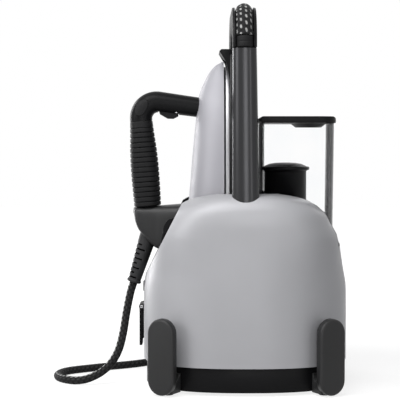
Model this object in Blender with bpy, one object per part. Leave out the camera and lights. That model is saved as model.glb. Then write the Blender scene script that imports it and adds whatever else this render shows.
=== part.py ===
"""A steam ironing station: a base with boiler and water tank, a carrying handle, and an iron parked upright.

Sizes are in millimetres and MM turns them into metres. +X runs from the iron to the tank, +Y to the
back, +Z up. The origin lies on the floor under the middle of the base.
"""
import math

import bmesh
import bpy
from mathutils import Vector

MM = 0.001
GAP = 0.3  # air between two pieces that touch
WALL = 2.5

# Base shell: a dome on an oval plan, split into a front and a rear half at Y = 0.
SHELL_X = 8.4
SHELL_HALF_X = 120.8
SHELL_LEFT = SHELL_X - SHELL_HALF_X
SHELL_HALF_Y = 100.0
SHELL_BOTTOM = 32.0
SHELL_TOP = 228.0
# (height, inset along X, inset along Y, exponent of the oval plan)
SHELL_PROFILE = (
    (SHELL_BOTTOM, 0, 0, 2.5),
    (96.5, 0, 0, 2.5),
    (121, 0.6, 0, 2.5),
    (137.4, 3.6, 0, 2.6),
    (154.7, 6.6, 0, 2.8),
    (171.8, 9.6, 0, 3.0),
    (181, 12.4, 0, 3.1),
    (194.7, 20.3, 0, 3.2),
    (205.4, 26.3, 1.3, 3.2),
    (213.8, 36.0, 4.1, 3.2),
    (221.5, 49.6, 9.4, 3.2),
    (225.6, 66.0, 15.4, 3.2),
    (SHELL_TOP, 81.3, 24, 3.2),
)
# The slanted cut on the iron's side passes through this point; its lean is (across, up).
SLANT_POINT = (-100.7, 149.9)
SLANT_LEAN = (0.4549, 0.8906)

# Base pan and feet.
PAN_HALF_X = SHELL_HALF_X - 3.3
PAN_HALF_Y = SHELL_HALF_Y - 3.0
PAN_BOTTOM = 4.0
PAN_FLOOR = 3.0
FOOT_OFF_X = SHELL_HALF_X - 25.1
FOOT_OFF_Y = SHELL_HALF_Y - 5.0
FOOT_TURN = 30.0
FOOT_WIDTH = 34.0
FOOT_THICK = 10.0
FOOT_LOW = 1.2
FOOT_HIGH = 88.5
FOOT_X = 7.4
ARM_LOW = 2.6
ARM_HIGH = 15.6
ARM_WIDTH = 24.0
PAD_RADIUS = 6.5
PAD_HIGH = 4.2
PAD_OFF = 13.0
SCREW_X = SHELL_HALF_X - 45.8
SCREW_Y = 72.0

# Bays in the shell.
REST_X = -9.6
REST_THICK = 3.2
IRON_BAY_Y = 55.0
IRON_BAY_FLOOR = 157.4
TANK_HALF_Y = 42.0
TANK_LOW = 171.0
TANK_BAY_X = 21.5
TANK_BAY_Y = TANK_HALF_Y + 5.0
TANK_BAY_FLOOR = TANK_LOW - 4.5

# Columns, handle bow and rope grip.
COLUMN_Y = 80.0
COLUMN_LOW = 192.0
COLUMN_TOP = 394.6
COLUMN_HALF_Y = 12.0
COLUMN_HALF_LOW = 15.8
COLUMN_HALF_TOP = 13.9
COLUMN_X_LOW = 7.1
COLUMN_X_TOP = 5.25
BOW_HALF = 12.0
BOW_BAR_Z = COLUMN_TOP + 36.4
BOW_CORNER = 32.0
ROPE_RADIUS = 10.0
BOW_HALF_X = ROPE_RADIUS + 3.7
ROPE_OUT = 7.0
PLUG_HIGH = 11.2

# Rest plate behind the iron.
REST_HALF_Y = 65.5
REST_BOTTOM = 225.3
REST_TOP = 390.0
LIP_HALF_Y = 28.0
LIP_TOP = 397.3

# Iron, parked with its tip up.
SOLE_FACE = -10.0
SOLE_THICK = 5.0
SOLE_LOW = 166.0
SOLE_TIP = 380.0
SOLE_HALF = 50.0
SHIELD_THICK = 1.4
COVER_LOW = 172.0
COVER_WALL = 2.2
# (height, crest of the cover): the cover's back lies level with the heat shield.
COVER_CREST = (
    (COVER_LOW, -60.5),
    (200, -60.5),
    (218.9, -58.7),
    (242.9, -56.6),
    (272.9, -54.2),
    (314.9, -50.2),
    (335.3, -48.2),
    (347.9, -45.2),
    (359.3, -40.4),
    (370.7, -34.4),
    (379.7, -26.5),
    (383, -20.5),
)
POST_START = (-44.0, 329.5)
HANDLE_CORNER = (-117.5, 339.5)
GRIP_END = (-107.9, 211.6)
POST_HALF = 11.75
POST_HALF_Y = 13.0
GRIP_TOP_Z = 313.5
CORE_RADIUS = 9.5
SLEEVE_HALF_Y = 15.0
HEEL_FLOOR = 160.2
BOOT_START = (-108.8, 171.5)
BOOT_END = (-125.0, 120.2)
BOOT_RADII = (10.0, 7.4)
TRIGGER_PIN = (-73.5, 324.0)
TRIGGER_HALF_Y = 6.5
PIN_RADIUS = 1.2

# Water tank with lid and filter cartridge.
TANK_LEFT = TANK_BAY_X + 3.5
TANK_RIGHT = 113.2
TANK_TAPER = 1.5
TANK_CORNER = 22.0
TANK_TOP = 310.2
LID_HIGH = 7.8
LID_OVER = 2.0
CARTRIDGE_X = 57.0
CARTRIDGE_RADIUS = 25.2
FLANGE_RADIUS = CARTRIDGE_RADIUS + 3.6
FLANGE_Z = 255.0
VALVE_X = 98.0
VALVE_RADIUS = 8.0

# Side flap, drain and power button.
FLAP_PIN = (SHELL_LEFT - 3.5, 89.9)
FLAP_Y = 20.0
FLAP_HALF_Y = 12.0
FLAP_LOW = 42.5
FLAP_STEP = 50.9
KNUCKLE = 3.2
DRAIN_Z = 66.0
DRAIN_RADIUS = 9.0
BUTTON_Z = 116.0
BUTTON_TRAVEL = 2.5

# Boiler and the rest of the works inside the base.
BOILER_X = -20.0
BOILER_RADIUS = 45.0
BOILER_LOW = 40.0
BOILER_HIGH = 120.0
PUMP_AT = (70.0, -35.0)
VALVE_AT = (70.0, 42.0)

# Steam hose.
HOSE_RADIUS = 4.75
GLAND_X = -46.75
GLAND_Z = 18.0
GLAND_OUT = 12.0
MAINS_X = 52.0
COIL_AT = (10.0, 178.0)
COIL_TURN = 52.0
COIL_LIFT = 1.5
TIE_WIDTH = 12.0
TIE_THICK = 1.2

PAINT = {
    "light_grey": ((0.68, 0.68, 0.7), 0.3, 0.0),
    "cover_grey": ((0.55, 0.54, 0.58), 0.28, 0.2),
    "black": ((0.02, 0.02, 0.022), 0.35, 0.0),
    "satin_dark": ((0.09, 0.09, 0.095), 0.35, 0.5),
    "rubber": ((0.015, 0.015, 0.015), 0.7, 0.0),
    "aluminium": ((0.75, 0.75, 0.77), 0.25, 1.0),
    "steel": ((0.6, 0.6, 0.62), 0.3, 1.0),
    "brass": ((0.7, 0.5, 0.25), 0.35, 1.0),
    "clear": ((0.85, 0.88, 0.9), 0.05, 0.0),
    "textile": ((0.05, 0.05, 0.05), 0.85, 0.0),
    "board": ((0.03, 0.2, 0.1), 0.5, 0.0),
    "silicone": ((0.8, 0.8, 0.78), 0.5, 0.0),
}


# ---------------------------------------------------------------- helpers

def material(name, paint):
    """A Principled material of its own for one object."""
    colour, rough, metal = PAINT[paint]
    made = bpy.data.materials.new(name)
    made.use_nodes = True
    shader = made.node_tree.nodes["Principled BSDF"]
    shader.inputs["Base Color"].default_value = (*colour, 1)
    shader.inputs["Roughness"].default_value = rough
    shader.inputs["Metallic"].default_value = metal
    return made


def make(name, vertices, faces, paint=None, origin=(0, 0, 0)):
    """An object from points in millimetres, with its origin at a point; without paint it is a cutter."""
    mesh = bpy.data.meshes.new(name)
    base = Vector(origin)
    mesh.from_pydata([(Vector(v) - base) * MM for v in vertices], [], faces)
    bm = bmesh.new()
    bm.from_mesh(mesh)
    bmesh.ops.recalc_face_normals(bm, faces=bm.faces)
    bm.to_mesh(mesh)
    bm.free()
    made = bpy.data.objects.new(name, mesh)
    made.location = base * MM
    bpy.context.collection.objects.link(made)
    if paint is None:
        made.hide_render = True
        made.display_type = "WIRE"
    else:
        mesh.materials.append(material(name, paint))
        mesh.shade_smooth()
        mesh.set_sharp_from_angle(angle=math.radians(35))
    return made


def carve(target, tools, operation="DIFFERENCE"):
    """Boolean modifiers on the target, one for each tool."""
    for tool in tools:
        modifier = target.modifiers.new(tool.name, "BOOLEAN")
        modifier.operation = operation
        modifier.solver = "EXACT"
        modifier.object = tool
    return target


def loft(name, rings, paint=None, origin=(0, 0, 0)):
    """A closed skin over rings of equal count, flat at both ends."""
    count = len(rings[0])
    vertices = [point for ring in rings for point in ring]
    faces = []
    for i in range(len(rings) - 1):
        for j in range(count):
            k = (j + 1) % count
            faces.append((i * count + j, i * count + k, (i + 1) * count + k, (i + 1) * count + j))
    faces.append(tuple(range(count)))
    faces.append(tuple(range(len(vertices) - count, len(vertices))))
    return make(name, vertices, faces, paint, origin)


def place(axis, across, up, along):
    """A point from its two coordinates across an axis and one along it."""
    if axis == "X":
        return (along, across, up)
    if axis == "Y":
        return (across, along, up)
    return (across, up, along)


def prism(name, outline, axis, low, high, paint=None, origin=(0, 0, 0)):
    """An outline pushed along an axis: (Y, Z) along X, (X, Z) along Y, (X, Y) along Z."""
    rings = [[place(axis, a, b, at) for a, b in outline] for at in (low, high)]
    return loft(name, rings, paint, origin)


def turned(name, profile, axis, centre, paint=None, count=24, ring=False, origin=(0, 0, 0)):
    """A profile of (radius, along) turned about an axis through the centre; ring closes the profile."""
    vertices, loops = [], []
    for radius, along in profile:
        turns = 1 if radius == 0 else count
        loop = []
        for i in range(turns):
            angle = 2 * math.pi * i / count
            across, up = centre[0] + radius * math.cos(angle), centre[1] + radius * math.sin(angle)
            loop.append(len(vertices))
            vertices.append(place(axis, across, up, along))
        loops.append(loop)
    faces = []
    pairs = list(zip(loops, loops[1:])) + ([(loops[-1], loops[0])] if ring else [])
    for one, two in pairs:
        for i in range(count):
            j = (i + 1) % count
            corners = [one[i % len(one)], one[j % len(one)], two[j % len(two)], two[i % len(two)]]
            faces.append(tuple(dict.fromkeys(corners)))
    return make(name, vertices, faces, paint, origin)


def rod(name, axis, centre, radius, low, high, paint=None, count=20, bore=0.0, origin=(0, 0, 0)):
    """A round bar, or a round tube where it has a bore."""
    if bore:
        profile = [(bore, low), (radius, low), (radius, high), (bore, high)]
        return turned(name, profile, axis, centre, paint, count, True, origin)
    profile = [(0, low), (radius, low), (radius, high), (0, high)]
    return turned(name, profile, axis, centre, paint, count, False, origin)


def oval(cx, cy, half_x, half_y, power, count):
    """A superellipse; a power of 2 is an ellipse and a higher one is squarer."""
    points = []
    for i in range(count):
        angle = 2 * math.pi * i / count
        c, s = math.cos(angle), math.sin(angle)
        points.append((cx + half_x * math.copysign(abs(c) ** (2 / power), c),
                       cy + half_y * math.copysign(abs(s) ** (2 / power), s)))
    return points


def rounded(x0, x1, y0, y1, radius, steps=4):
    """A rectangle with round corners."""
    corners = ((x1 - radius, y1 - radius, 0), (x0 + radius, y1 - radius, 90),
               (x0 + radius, y0 + radius, 180), (x1 - radius, y0 + radius, 270))
    return [(cx + radius * math.cos(math.radians(start + 90 * i / steps)),
             cy + radius * math.sin(math.radians(start + 90 * i / steps)))
            for cx, cy, start in corners for i in range(steps + 1)]


def box(name, x, y, z, paint=None, origin=(0, 0, 0)):
    """A box from its three ranges."""
    outline = [(x[0], y[0]), (x[1], y[0]), (x[1], y[1]), (x[0], y[1])]
    return prism(name, outline, "Z", z[0], z[1], paint, origin)


def bent(start, corner, end, radius, steps):
    """A line from start to end whose corner is an arc of the given radius, in two coordinates."""
    start, corner, end = Vector(start), Vector(corner), Vector(end)
    go, leave = (corner - start).normalized(), (end - corner).normalized()
    turn = go.angle(leave)
    reach = radius * math.tan(turn / 2)
    first = corner - go * reach
    side = leave - go * go.dot(leave)
    side.normalize()
    centre = first + side * radius
    points = [start]
    for i in range(steps + 1):
        angle = turn * i / steps
        points.append(centre - side * radius * math.cos(angle) + go * radius * math.sin(angle))
    return points + [end]


def tube(name, route, radius, paint, sides=2, near=2.4):
    """A round cord along a smooth curve through its route."""
    points = smooth([Vector(p) for p in route], near * 2 * radius)
    curve = bpy.data.curves.new(name, "CURVE")
    curve.dimensions = "3D"
    spline = curve.splines.new("POLY")
    spline.points.add(len(points) - 1)
    for target, point in zip(spline.points, points):
        target.co = (*(point * MM), 1)
    curve.bevel_depth = radius * MM
    curve.bevel_resolution = sides
    curve.use_fill_caps = True
    curve.materials.append(material(name, paint))
    made = bpy.data.objects.new(name, curve)
    bpy.context.collection.objects.link(made)
    return made


def smooth(route, step):
    """Points a step apart on a smooth curve through the route."""
    fine = []
    for i in range(len(route) - 1):
        a, b = route[max(i - 1, 0)], route[i]
        c, d = route[i + 1], route[min(i + 2, len(route) - 1)]
        for k in range(12):
            fine.append(spot(a, b, c, d, k / 12))
    fine.append(route[-1])
    total = sum((q - p).length for p, q in zip(fine, fine[1:]))
    count = max(2, round(total / step))
    points, walked, i = [fine[0]], 0.0, 0
    for k in range(1, count):
        want = total * k / count
        while walked + (fine[i + 1] - fine[i]).length < want:
            walked += (fine[i + 1] - fine[i]).length
            i += 1
        share = (want - walked) / (fine[i + 1] - fine[i]).length
        points.append(fine[i].lerp(fine[i + 1], share))
    return points + [fine[-1]]


def spot(a, b, c, d, t):
    """A point between b and c on a curve that passes a, b, c and d at an even pace."""
    span = max((c - b).length, 1e-6)
    out = (c - a) * (span / max((c - a).length, 1e-6))
    back = (d - b) * (span / max((d - b).length, 1e-6))
    return (b * (2 * t ** 3 - 3 * t ** 2 + 1) + out * (t ** 3 - 2 * t ** 2 + t)
            + c * (3 * t ** 2 - 2 * t ** 3) + back * (t ** 3 - t ** 2))


# ---------------------------------------------------------------- base shell, pan and feet

def dome_rings(inset, low, half, count=48):
    """Rings of the dome pushed inward by an inset; half is -1 for the front, 1 for the rear, 0 for all."""
    rings = []
    for i, (height, in_x, in_y, power) in enumerate(SHELL_PROFILE):
        below = SHELL_PROFILE[max(i - 1, 0)]
        above = SHELL_PROFILE[min(i + 1, len(SHELL_PROFILE) - 1)]
        lean = Vector((above[0] - below[0], above[1] - below[1])).normalized()
        z = low if i == 0 else height - inset * lean.y
        if height == SHELL_TOP:
            z = SHELL_TOP - inset
        ring = oval(SHELL_X, 0, SHELL_HALF_X - in_x - inset * lean.x,
                    SHELL_HALF_Y - in_y - inset, power, count)
        if half:
            ring = [(x, y) for x, y in ring if y * half > 1]
            ring.sort(key=lambda point: point[0] * half, reverse=True)
            edge = SHELL_HALF_X - in_x - inset * lean.x
            ring = ([(SHELL_X + edge * half, GAP / 2 * half)] + ring
                    + [(SHELL_X - edge * half, GAP / 2 * half)])
        rings.append([(x, y, z) for x, y in ring])
    return rings


def slant_x(z, shift=0.0):
    """X of the slanted cut at a height; a positive shift moves it into the shell."""
    across = SLANT_POINT[0] + (z - SLANT_POINT[1]) * SLANT_LEAN[0] / SLANT_LEAN[1]
    return across + shift / SLANT_LEAN[1]


def slant_cutter(name, shift):
    """Everything on the iron's side of the slanted cut."""
    low, high, far = 100.0, 260.0, -180.0
    outline = [(slant_x(low, shift), low), (slant_x(high, shift), high), (far, high), (far, low)]
    return prism(name, outline, "Y", -130, 130)


def column_rings(grow, y, low, high):
    """Rings of a column, grown by a clearance."""
    rings = []
    for z in (low, high):
        share = (z - COLUMN_LOW) / (COLUMN_TOP - COLUMN_LOW)
        middle = COLUMN_X_LOW + share * (COLUMN_X_TOP - COLUMN_X_LOW)
        half = COLUMN_HALF_LOW + share * (COLUMN_HALF_TOP - COLUMN_HALF_LOW)
        rings.append([(x, across, z) for x, across in
                      oval(middle, y, half + grow, COLUMN_HALF_Y + grow, 2.3, 28)])
    return rings


def make_shells():
    """The two halves of the dome with their bays, column holes, screw bosses and flap ears."""
    hollow = loft("cut_shell_inside", dome_rings(WALL, SHELL_BOTTOM - 5, 0, 32)[::2])
    slant = slant_cutter("cut_slant", 0)
    iron_bay = box("cut_iron_bay", (-180, REST_X + REST_THICK + GAP), (-IRON_BAY_Y, IRON_BAY_Y),
                   (IRON_BAY_FLOOR - GAP, 260))
    tank_bay = box("cut_tank_bay", (TANK_BAY_X, 180), (-TANK_BAY_Y, TANK_BAY_Y),
                   (TANK_BAY_FLOOR - GAP, 260))
    button = prism("cut_button", rounded(-12 - GAP, 12 + GAP, BUTTON_Z - 6 - GAP, BUTTON_Z + 6 + GAP, 5.5),
                   "X", SHELL_LEFT - 12.6, SHELL_LEFT + 12.4)
    drain = rod("cut_drain", "X", (FLAP_Y, DRAIN_Z), DRAIN_RADIUS + GAP,
                SHELL_LEFT - 12.6, SHELL_LEFT + 12.4)
    ear_bore = rod("cut_ear_bore", "Y", FLAP_PIN, 2 + GAP, FLAP_Y - 20, FLAP_Y + 20)
    ears = [flap_ear(f"add_ear_{i}", side) for i, side in enumerate((-1, 1))]
    for name, side in (("front_shell", -1), ("rear_shell", 1)):
        shell = loft(name, dome_rings(0, SHELL_BOTTOM, side), "light_grey")
        hole = loft(f"cut_column_{name}", column_rings(GAP, side * COLUMN_Y, COLUMN_LOW, 240))
        carve(shell, [hollow, hole, iron_bay, slant, tank_bay, button, drain])
        carve(shell, [boss_with_rib(f"add_{name}_{i}", x, side) for i, x in enumerate((-1, 1))], "UNION")
        carve(shell, [rod(f"cut_{name}_pilot_{i}", "Z", (SHELL_X + x * SCREW_X, side * SCREW_Y),
                          1.7, 0, 30, count=12) for i, x in enumerate((-1, 1))])
        if side > 0:
            carve(shell, ears, "UNION")
            carve(shell, [ear_bore])


def boss_with_rib(name, side_x, side_y):
    """A screw boss that a rib ties to the shell's wall, above the pan."""
    x, y = SHELL_X + side_x * SCREW_X, side_y * SCREW_Y
    boss = rod(name, "Z", (x, y), 4.5, PAN_BOTTOM + PAN_FLOOR + GAP, 62, count=16)
    wall_y = SHELL_HALF_Y * (1 - (SCREW_X / SHELL_HALF_X) ** 2.5) ** 0.4 - WALL / 2
    ends = sorted((y, side_y * wall_y))
    rib = box(name + "_rib", (x - 1.5, x + 1.5), ends, (SHELL_BOTTOM + 3, 60))
    return carve(boss, [rib], "UNION")


def flap_ear(name, side):
    """The ear beside the flap that holds one end of its pin."""
    low, high = FLAP_HALF_Y + GAP, FLAP_HALF_Y + GAP + 3.5
    edge = abs(FLAP_Y + side * low)
    wall_x = SHELL_X - SHELL_HALF_X * (1 - (edge / SHELL_HALF_Y) ** 2.5) ** 0.4 - 2.8
    outline = [(wall_x + 4.0, FLAP_PIN[1] - KNUCKLE - 3), (wall_x + 4.0, FLAP_PIN[1] + KNUCKLE + 1)]
    outline += [(FLAP_PIN[0] + KNUCKLE * math.cos(math.radians(a)),
                 FLAP_PIN[1] + KNUCKLE * math.sin(math.radians(a))) for a in range(90, 271, 30)]
    return prism(name, outline, "Y", *sorted((FLAP_Y + side * low, FLAP_Y + side * high)))


def pan_rings(grow, low, high):
    """Rings of the pan's outside, grown by a clearance."""
    return [[(x, y, z) for x, y in oval(SHELL_X, 0, PAN_HALF_X + grow, PAN_HALF_Y + grow, 2.5, 48)]
            for z in (low, high)]


def make_pan():
    """The tray that closes the base from below, with the posts that carry the works."""
    high = SHELL_BOTTOM - GAP
    floor = PAN_BOTTOM + PAN_FLOOR
    pan = loft("base_pan", pan_rings(0, PAN_BOTTOM, high), "black")
    carve(pan, [loft("cut_pan_inside", pan_rings(-WALL, floor, high + 5))])
    posts = []
    for i in range(3):
        angle = math.radians(90 + 120 * i)
        at = (BOILER_X + 40 * math.cos(angle), 40 * math.sin(angle))
        posts.append(rod(f"add_boiler_post_{i}", "Z", at, 4, floor - 1, BOILER_LOW - GAP, count=12))
    posts.append(box("add_switch_post", (SHELL_LEFT + 6.7, SHELL_LEFT + 15.4), (-7, 7),
                     (floor - 1, BUTTON_Z - 10)))
    carve(pan, posts, "UNION")
    for i, (sx, sy) in enumerate(((-1, -1), (1, -1), (-1, 1), (1, 1))):
        at = (SHELL_X + sx * SCREW_X, sy * SCREW_Y)
        carve(pan, [turned(f"cut_pan_screw_{i}", [(0, 0), (4.2, 0), (4.2, PAN_BOTTOM + 1.6),
                                                  (2.3, PAN_BOTTOM + 1.6), (2.3, 12), (0, 12)],
                           "Z", at, count=12)])
    vents = [box(f"cut_vent_{i}", (24 + 8 * i, 27.5 + 8 * i), (-16, 16), (0, 12)) for i in range(3)]
    glands = [rod(f"cut_gland_{i}", "Y", (x, GLAND_Z), 6 + GAP, 60, 110, count=16)
              for i, x in enumerate((GLAND_X, MAINS_X))]
    carve(pan, vents + glands)


def foot_point(side_x, side_y, across, inward, z):
    """A point in a foot's own directions: across its plate, and inward from its middle."""
    turn = math.radians(FOOT_TURN)
    c, s = math.cos(turn), math.sin(turn)
    x = FOOT_OFF_X + across * c - inward * s
    y = FOOT_OFF_Y - across * s - inward * c
    return (FOOT_X + side_x * x, side_y * y, z)


def foot_outline(grow):
    """The upright capsule of a foot plate, as (across, height)."""
    half = FOOT_WIDTH / 2 + grow
    points = []
    for middle, start in ((FOOT_HIGH - FOOT_WIDTH / 2, 0), (FOOT_LOW + FOOT_WIDTH / 2, 180)):
        for i in range(9):
            angle = math.radians(start + 180 * i / 8)
            points.append((half * math.cos(angle), middle + half * math.sin(angle)))
    return points


def make_feet():
    """Four corner feet that also hold the wound hose off the body, and their rubber pads."""
    pan = loft("cut_foot_pan", pan_rings(GAP, -5, 60))
    shell = loft("cut_foot_shell", [[(x, y, z) for x, y in
                 oval(SHELL_X, 0, SHELL_HALF_X + 3, SHELL_HALF_Y + 3, 2.5, 48)] for z in (25, 60)])
    for end, side_x in (("left", -1), ("right", 1)):
        for face, side_y in (("front", -1), ("rear", 1)):
            name = f"foot_{face}_{end}"
            rings = []
            for inward, grow in ((-5, -2.5), (-3.6, -0.7), (-2, 0), (3.4, 0), (5, -1.2)):
                rings.append([foot_point(side_x, side_y, a, inward * FOOT_THICK / 10, z)
                              for a, z in foot_outline(grow)])
            foot = loft(name, rings, "black")
            arm = [(3, ARM_LOW), (30, ARM_LOW), (30, ARM_HIGH + 9), (18, ARM_HIGH + 9),
                   (15.5, ARM_HIGH + 2), (12, ARM_HIGH), (8, ARM_HIGH + 2), (5, ARM_HIGH + 9),
                   (3, ARM_HIGH + 9)]
            sides = [[foot_point(side_x, side_y, a, inward, z) for inward, z in arm]
                     for a in (-ARM_WIDTH / 2, ARM_WIDTH / 2)]
            carve(foot, [loft(f"add_arm_{name}", sides)], "UNION")
            at = foot_point(side_x, side_y, 0, PAD_OFF, 0)[:2]
            recess = rod(f"cut_pad_{name}", "Z", at, PAD_RADIUS + GAP, -2, PAD_HIGH + GAP, count=16)
            carve(foot, [pan, shell, recess])
            turned(f"pad_{face}_{end}", [(0, 0), (PAD_RADIUS - 0.6, 0), (PAD_RADIUS, 0.6),
                                         (PAD_RADIUS, PAD_HIGH), (0, PAD_HIGH)], "Z", at, "rubber", 20)


# ---------------------------------------------------------------- bays

def make_iron_dock():
    """The black bay the iron stands in, with the slanted panel that closes the shell's cut."""
    inside = loft("mask_dock_inside", dome_rings(WALL + GAP, 90, 0, 32)[::2])
    flush = slant_cutter("cut_dock_slant", 0)
    right = REST_X + REST_THICK
    low = [(slant_x(100, WALL), 100), (slant_x(250, WALL), 250),
           (slant_x(250, -9), 250), (slant_x(100, -9), 100)]
    dock = prism("iron_dock", low, "Y", -120, 120, "black")
    tub = box("add_dock_tub", (-119, right), (-IRON_BAY_Y + GAP, IRON_BAY_Y - GAP),
              (IRON_BAY_FLOOR, REST_BOTTOM - GAP))
    carve(dock, [inside], "INTERSECT")
    carve(dock, [tub], "UNION")
    wall = IRON_BAY_Y - GAP - WALL
    space = box("cut_dock_space", (-180, REST_X), (-wall, wall), (IRON_BAY_FLOOR + WALL, 260))
    carve(dock, [flush, space])
    flush_top = loft("mask_dock_top", dome_rings(0.4, 60, 0))
    carve(dock, [flush_top], "INTERSECT")


def make_tank_bay():
    """The black bay the tank stands in, open to the right and trimmed level with the dome."""
    edge = TANK_BAY_Y - GAP
    bay = box("tank_bay", (TANK_BAY_X + GAP, 140), (-edge, edge), (TANK_BAY_FLOOR, 260), "black")
    space = box("cut_bay_space", (TANK_BAY_X + GAP + WALL, 180), (-edge + WALL, edge - WALL),
                (TANK_BAY_FLOOR + WALL, 300))
    hole = rod("cut_bay_hole", "Z", (VALVE_X, 0), VALVE_RADIUS + 2 + GAP, 150, 180)
    top = loft("mask_bay_top", dome_rings(-0.4, 60, 0))
    carve(bay, [space, hole])
    carve(bay, [top], "INTERSECT")


# ---------------------------------------------------------------- carrying handle and rest plate

def make_columns():
    """Two hollow columns that pass through the dome."""
    for name, side in (("column_front", -1), ("column_rear", 1)):
        column = loft(name, column_rings(0, side * COLUMN_Y, COLUMN_LOW, COLUMN_TOP), "satin_dark")
        carve(column, [loft(f"cut_{name}", column_rings(-WALL, side * COLUMN_Y, COLUMN_LOW - 5,
                                                        COLUMN_TOP + 5))])


def bow_path(out):
    """The arch from the front column to the rear one as (Y, Z), pushed outward by a distance."""
    low = COLUMN_TOP + GAP
    half = []
    for point in bent((-COLUMN_Y - out, low), (-COLUMN_Y - out, BOW_BAR_Z + out), (0, BOW_BAR_Z + out),
                      BOW_CORNER + out, 6):
        half.append(point)
    return half + [Vector((-p.x, p.y)) for p in reversed(half[:-1])]


def swept(name, section, path, paint=None):
    """A section of (X, outward) carried along a path of (Y, Z)."""
    rings = []
    for i, point in enumerate(path):
        ahead = path[min(i + 1, len(path) - 1)] - path[max(i - 1, 0)]
        out = Vector((-ahead.y, ahead.x)).normalized()
        if 0 < i < len(path) - 1:
            one = (path[i + 1] - point).normalized()
            two = (point - path[i - 1]).normalized()
            out /= max(math.cos(one.angle(two) / 2), 0.5)
        rings.append([(x, point.x + out.x * v, point.y + out.y * v) for x, v in section])
    return loft(name, rings, paint)


def make_bow():
    """The handle's bow: a channel that holds the rope, with spigots that go into the columns."""
    groove = ROPE_RADIUS + GAP
    steps = 8
    arc = [(COLUMN_X_TOP + groove * math.cos(math.pi * i / steps),
            ROPE_OUT - groove * math.sin(math.pi * i / steps)) for i in range(steps + 1)]
    left, right = COLUMN_X_TOP - BOW_HALF_X, COLUMN_X_TOP + BOW_HALF_X
    section = ([(right, BOW_HALF - 1.5), (right - 1, BOW_HALF), (COLUMN_X_TOP + groove, BOW_HALF)] + arc
               + [(COLUMN_X_TOP - groove, BOW_HALF), (left + 1, BOW_HALF), (left, BOW_HALF - 1.5),
                  (left, -BOW_HALF + 7), (left + 2, -BOW_HALF + 2), (left + 7, -BOW_HALF),
                  (right - 7, -BOW_HALF), (right - 2, -BOW_HALF + 2), (right, -BOW_HALF + 7)])
    bow = swept("handle_bow", section, bow_path(0), "black")
    near, far = COLUMN_Y - COLUMN_HALF_Y + WALL + 0.6, COLUMN_Y + ROPE_OUT - ROPE_RADIUS - 0.9
    for side in (-1, 1):
        ring = oval(COLUMN_X_TOP, side * (near + far) / 2, 7.4, (far - near) / 2, 2.3, 16)
        carve(bow, [prism(f"add_spigot_{side}", ring, "Z", COLUMN_TOP - 22, COLUMN_TOP + 3)], "UNION")
    rope = bow_path(ROPE_OUT)
    whole = sum((b - a).length for a, b in zip(rope, rope[1:]))
    round_section = [(COLUMN_X_TOP + a, b) for a, b in oval(0, 0, ROPE_RADIUS, ROPE_RADIUS, 2, 16)]
    swept("bow_plug_front", round_section, stretch(rope, 0, PLUG_HIGH), "rubber")
    swept("bow_plug_rear", round_section, stretch(rope, whole - PLUG_HIGH, whole), "rubber")
    swept("rope_grip", round_section, stretch(rope, PLUG_HIGH + GAP, whole - PLUG_HIGH - GAP), "textile")


def stretch(path, start, end):
    """The part of a path between two lengths along it."""
    points, walked = [], 0.0
    for a, b in zip(path, path[1:]):
        step = (b - a).length
        for at in (start, end):
            if walked <= at < walked + step or (at == end and b == path[-1] and at >= walked + step):
                points.append((at, a.lerp(b, min((at - walked) / step, 1))))
        if start < walked + step < end:
            points.append((walked + step, b))
        walked += step
    points.sort(key=lambda pair: pair[0])
    return [point for _, point in points]


def make_rest_plate():
    """The upright plate behind the iron, its lip over the tip, its side webs and its column tabs."""
    foot = IRON_BAY_Y - 2 * GAP
    outline = [(-REST_HALF_Y, SHELL_TOP + GAP), (-foot, SHELL_TOP + GAP), (-foot, REST_BOTTOM),
               (foot, REST_BOTTOM), (foot, SHELL_TOP + GAP), (REST_HALF_Y, SHELL_TOP + GAP)]
    corner = 26.0
    for sign, start in ((1, 0), (-1, 90)):
        for i in range(7):
            angle = math.radians(start + 15 * i)
            outline.append((sign * (REST_HALF_Y - corner) + corner * math.cos(angle),
                            REST_TOP - corner + corner * math.sin(angle)))
    back = REST_X + REST_THICK
    plate = prism("rest_plate", outline, "X", REST_X, back, "black")
    lip = [(back, 365), (back, LIP_TOP - 2), (back - 2, LIP_TOP), (-20.2, LIP_TOP), (-22.6, 394.9),
           (-17, 388.4), (-12, 385), (REST_X, 382), (REST_X, 365)]
    web = [(back, 345), (back, LIP_TOP - 4), (-21, LIP_TOP - 3), (-22.3, 394.9), (-14.8, 382.6),
           (-12.2, 372), (-10.6, 362), (REST_X, 345)]
    adds = [prism("add_lip", lip, "Y", -LIP_HALF_Y, LIP_HALF_Y)]
    for side in (-1, 1):
        adds.append(prism(f"add_web_{side}", web, "Y",
                          *sorted((side * (LIP_HALF_Y - 3.4), side * LIP_HALF_Y))))
        reach = COLUMN_Y - COLUMN_HALF_Y - GAP
        adds.append(box(f"add_tab_{side}", (REST_X + 1, 12), sorted((side * 62, side * reach)), (296, 320)))
    carve(plate, adds, "UNION")


# ---------------------------------------------------------------- iron

def sole_half(z, tip):
    """Half the width of the sole at a height: widest near the heel, closing to the tip."""
    wide = 200.0
    if z <= wide:
        return SOLE_HALF - 2.5 * ((wide - z) / (wide - SOLE_LOW)) ** 2
    share = min((z - wide) / (tip - wide), 1.0)
    return SOLE_HALF * (1 - share ** 2.2) ** 0.75


def sole_outline(inset, low, tip):
    """The outline of the sole as (Y, Z), pushed inward."""
    heights = [low, low + 12, 200, 225, 250, 275, 300, 320, 338, 354, 366, 375]
    points = [(sole_half(z, SOLE_TIP) - inset - (5 if z == low else 0), z) for z in heights if z < tip - 3]
    mirrored = [(-y, z) for y, z in reversed(points)]
    return points + [(1.5, tip), (-1.5, tip)] + mirrored


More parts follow.
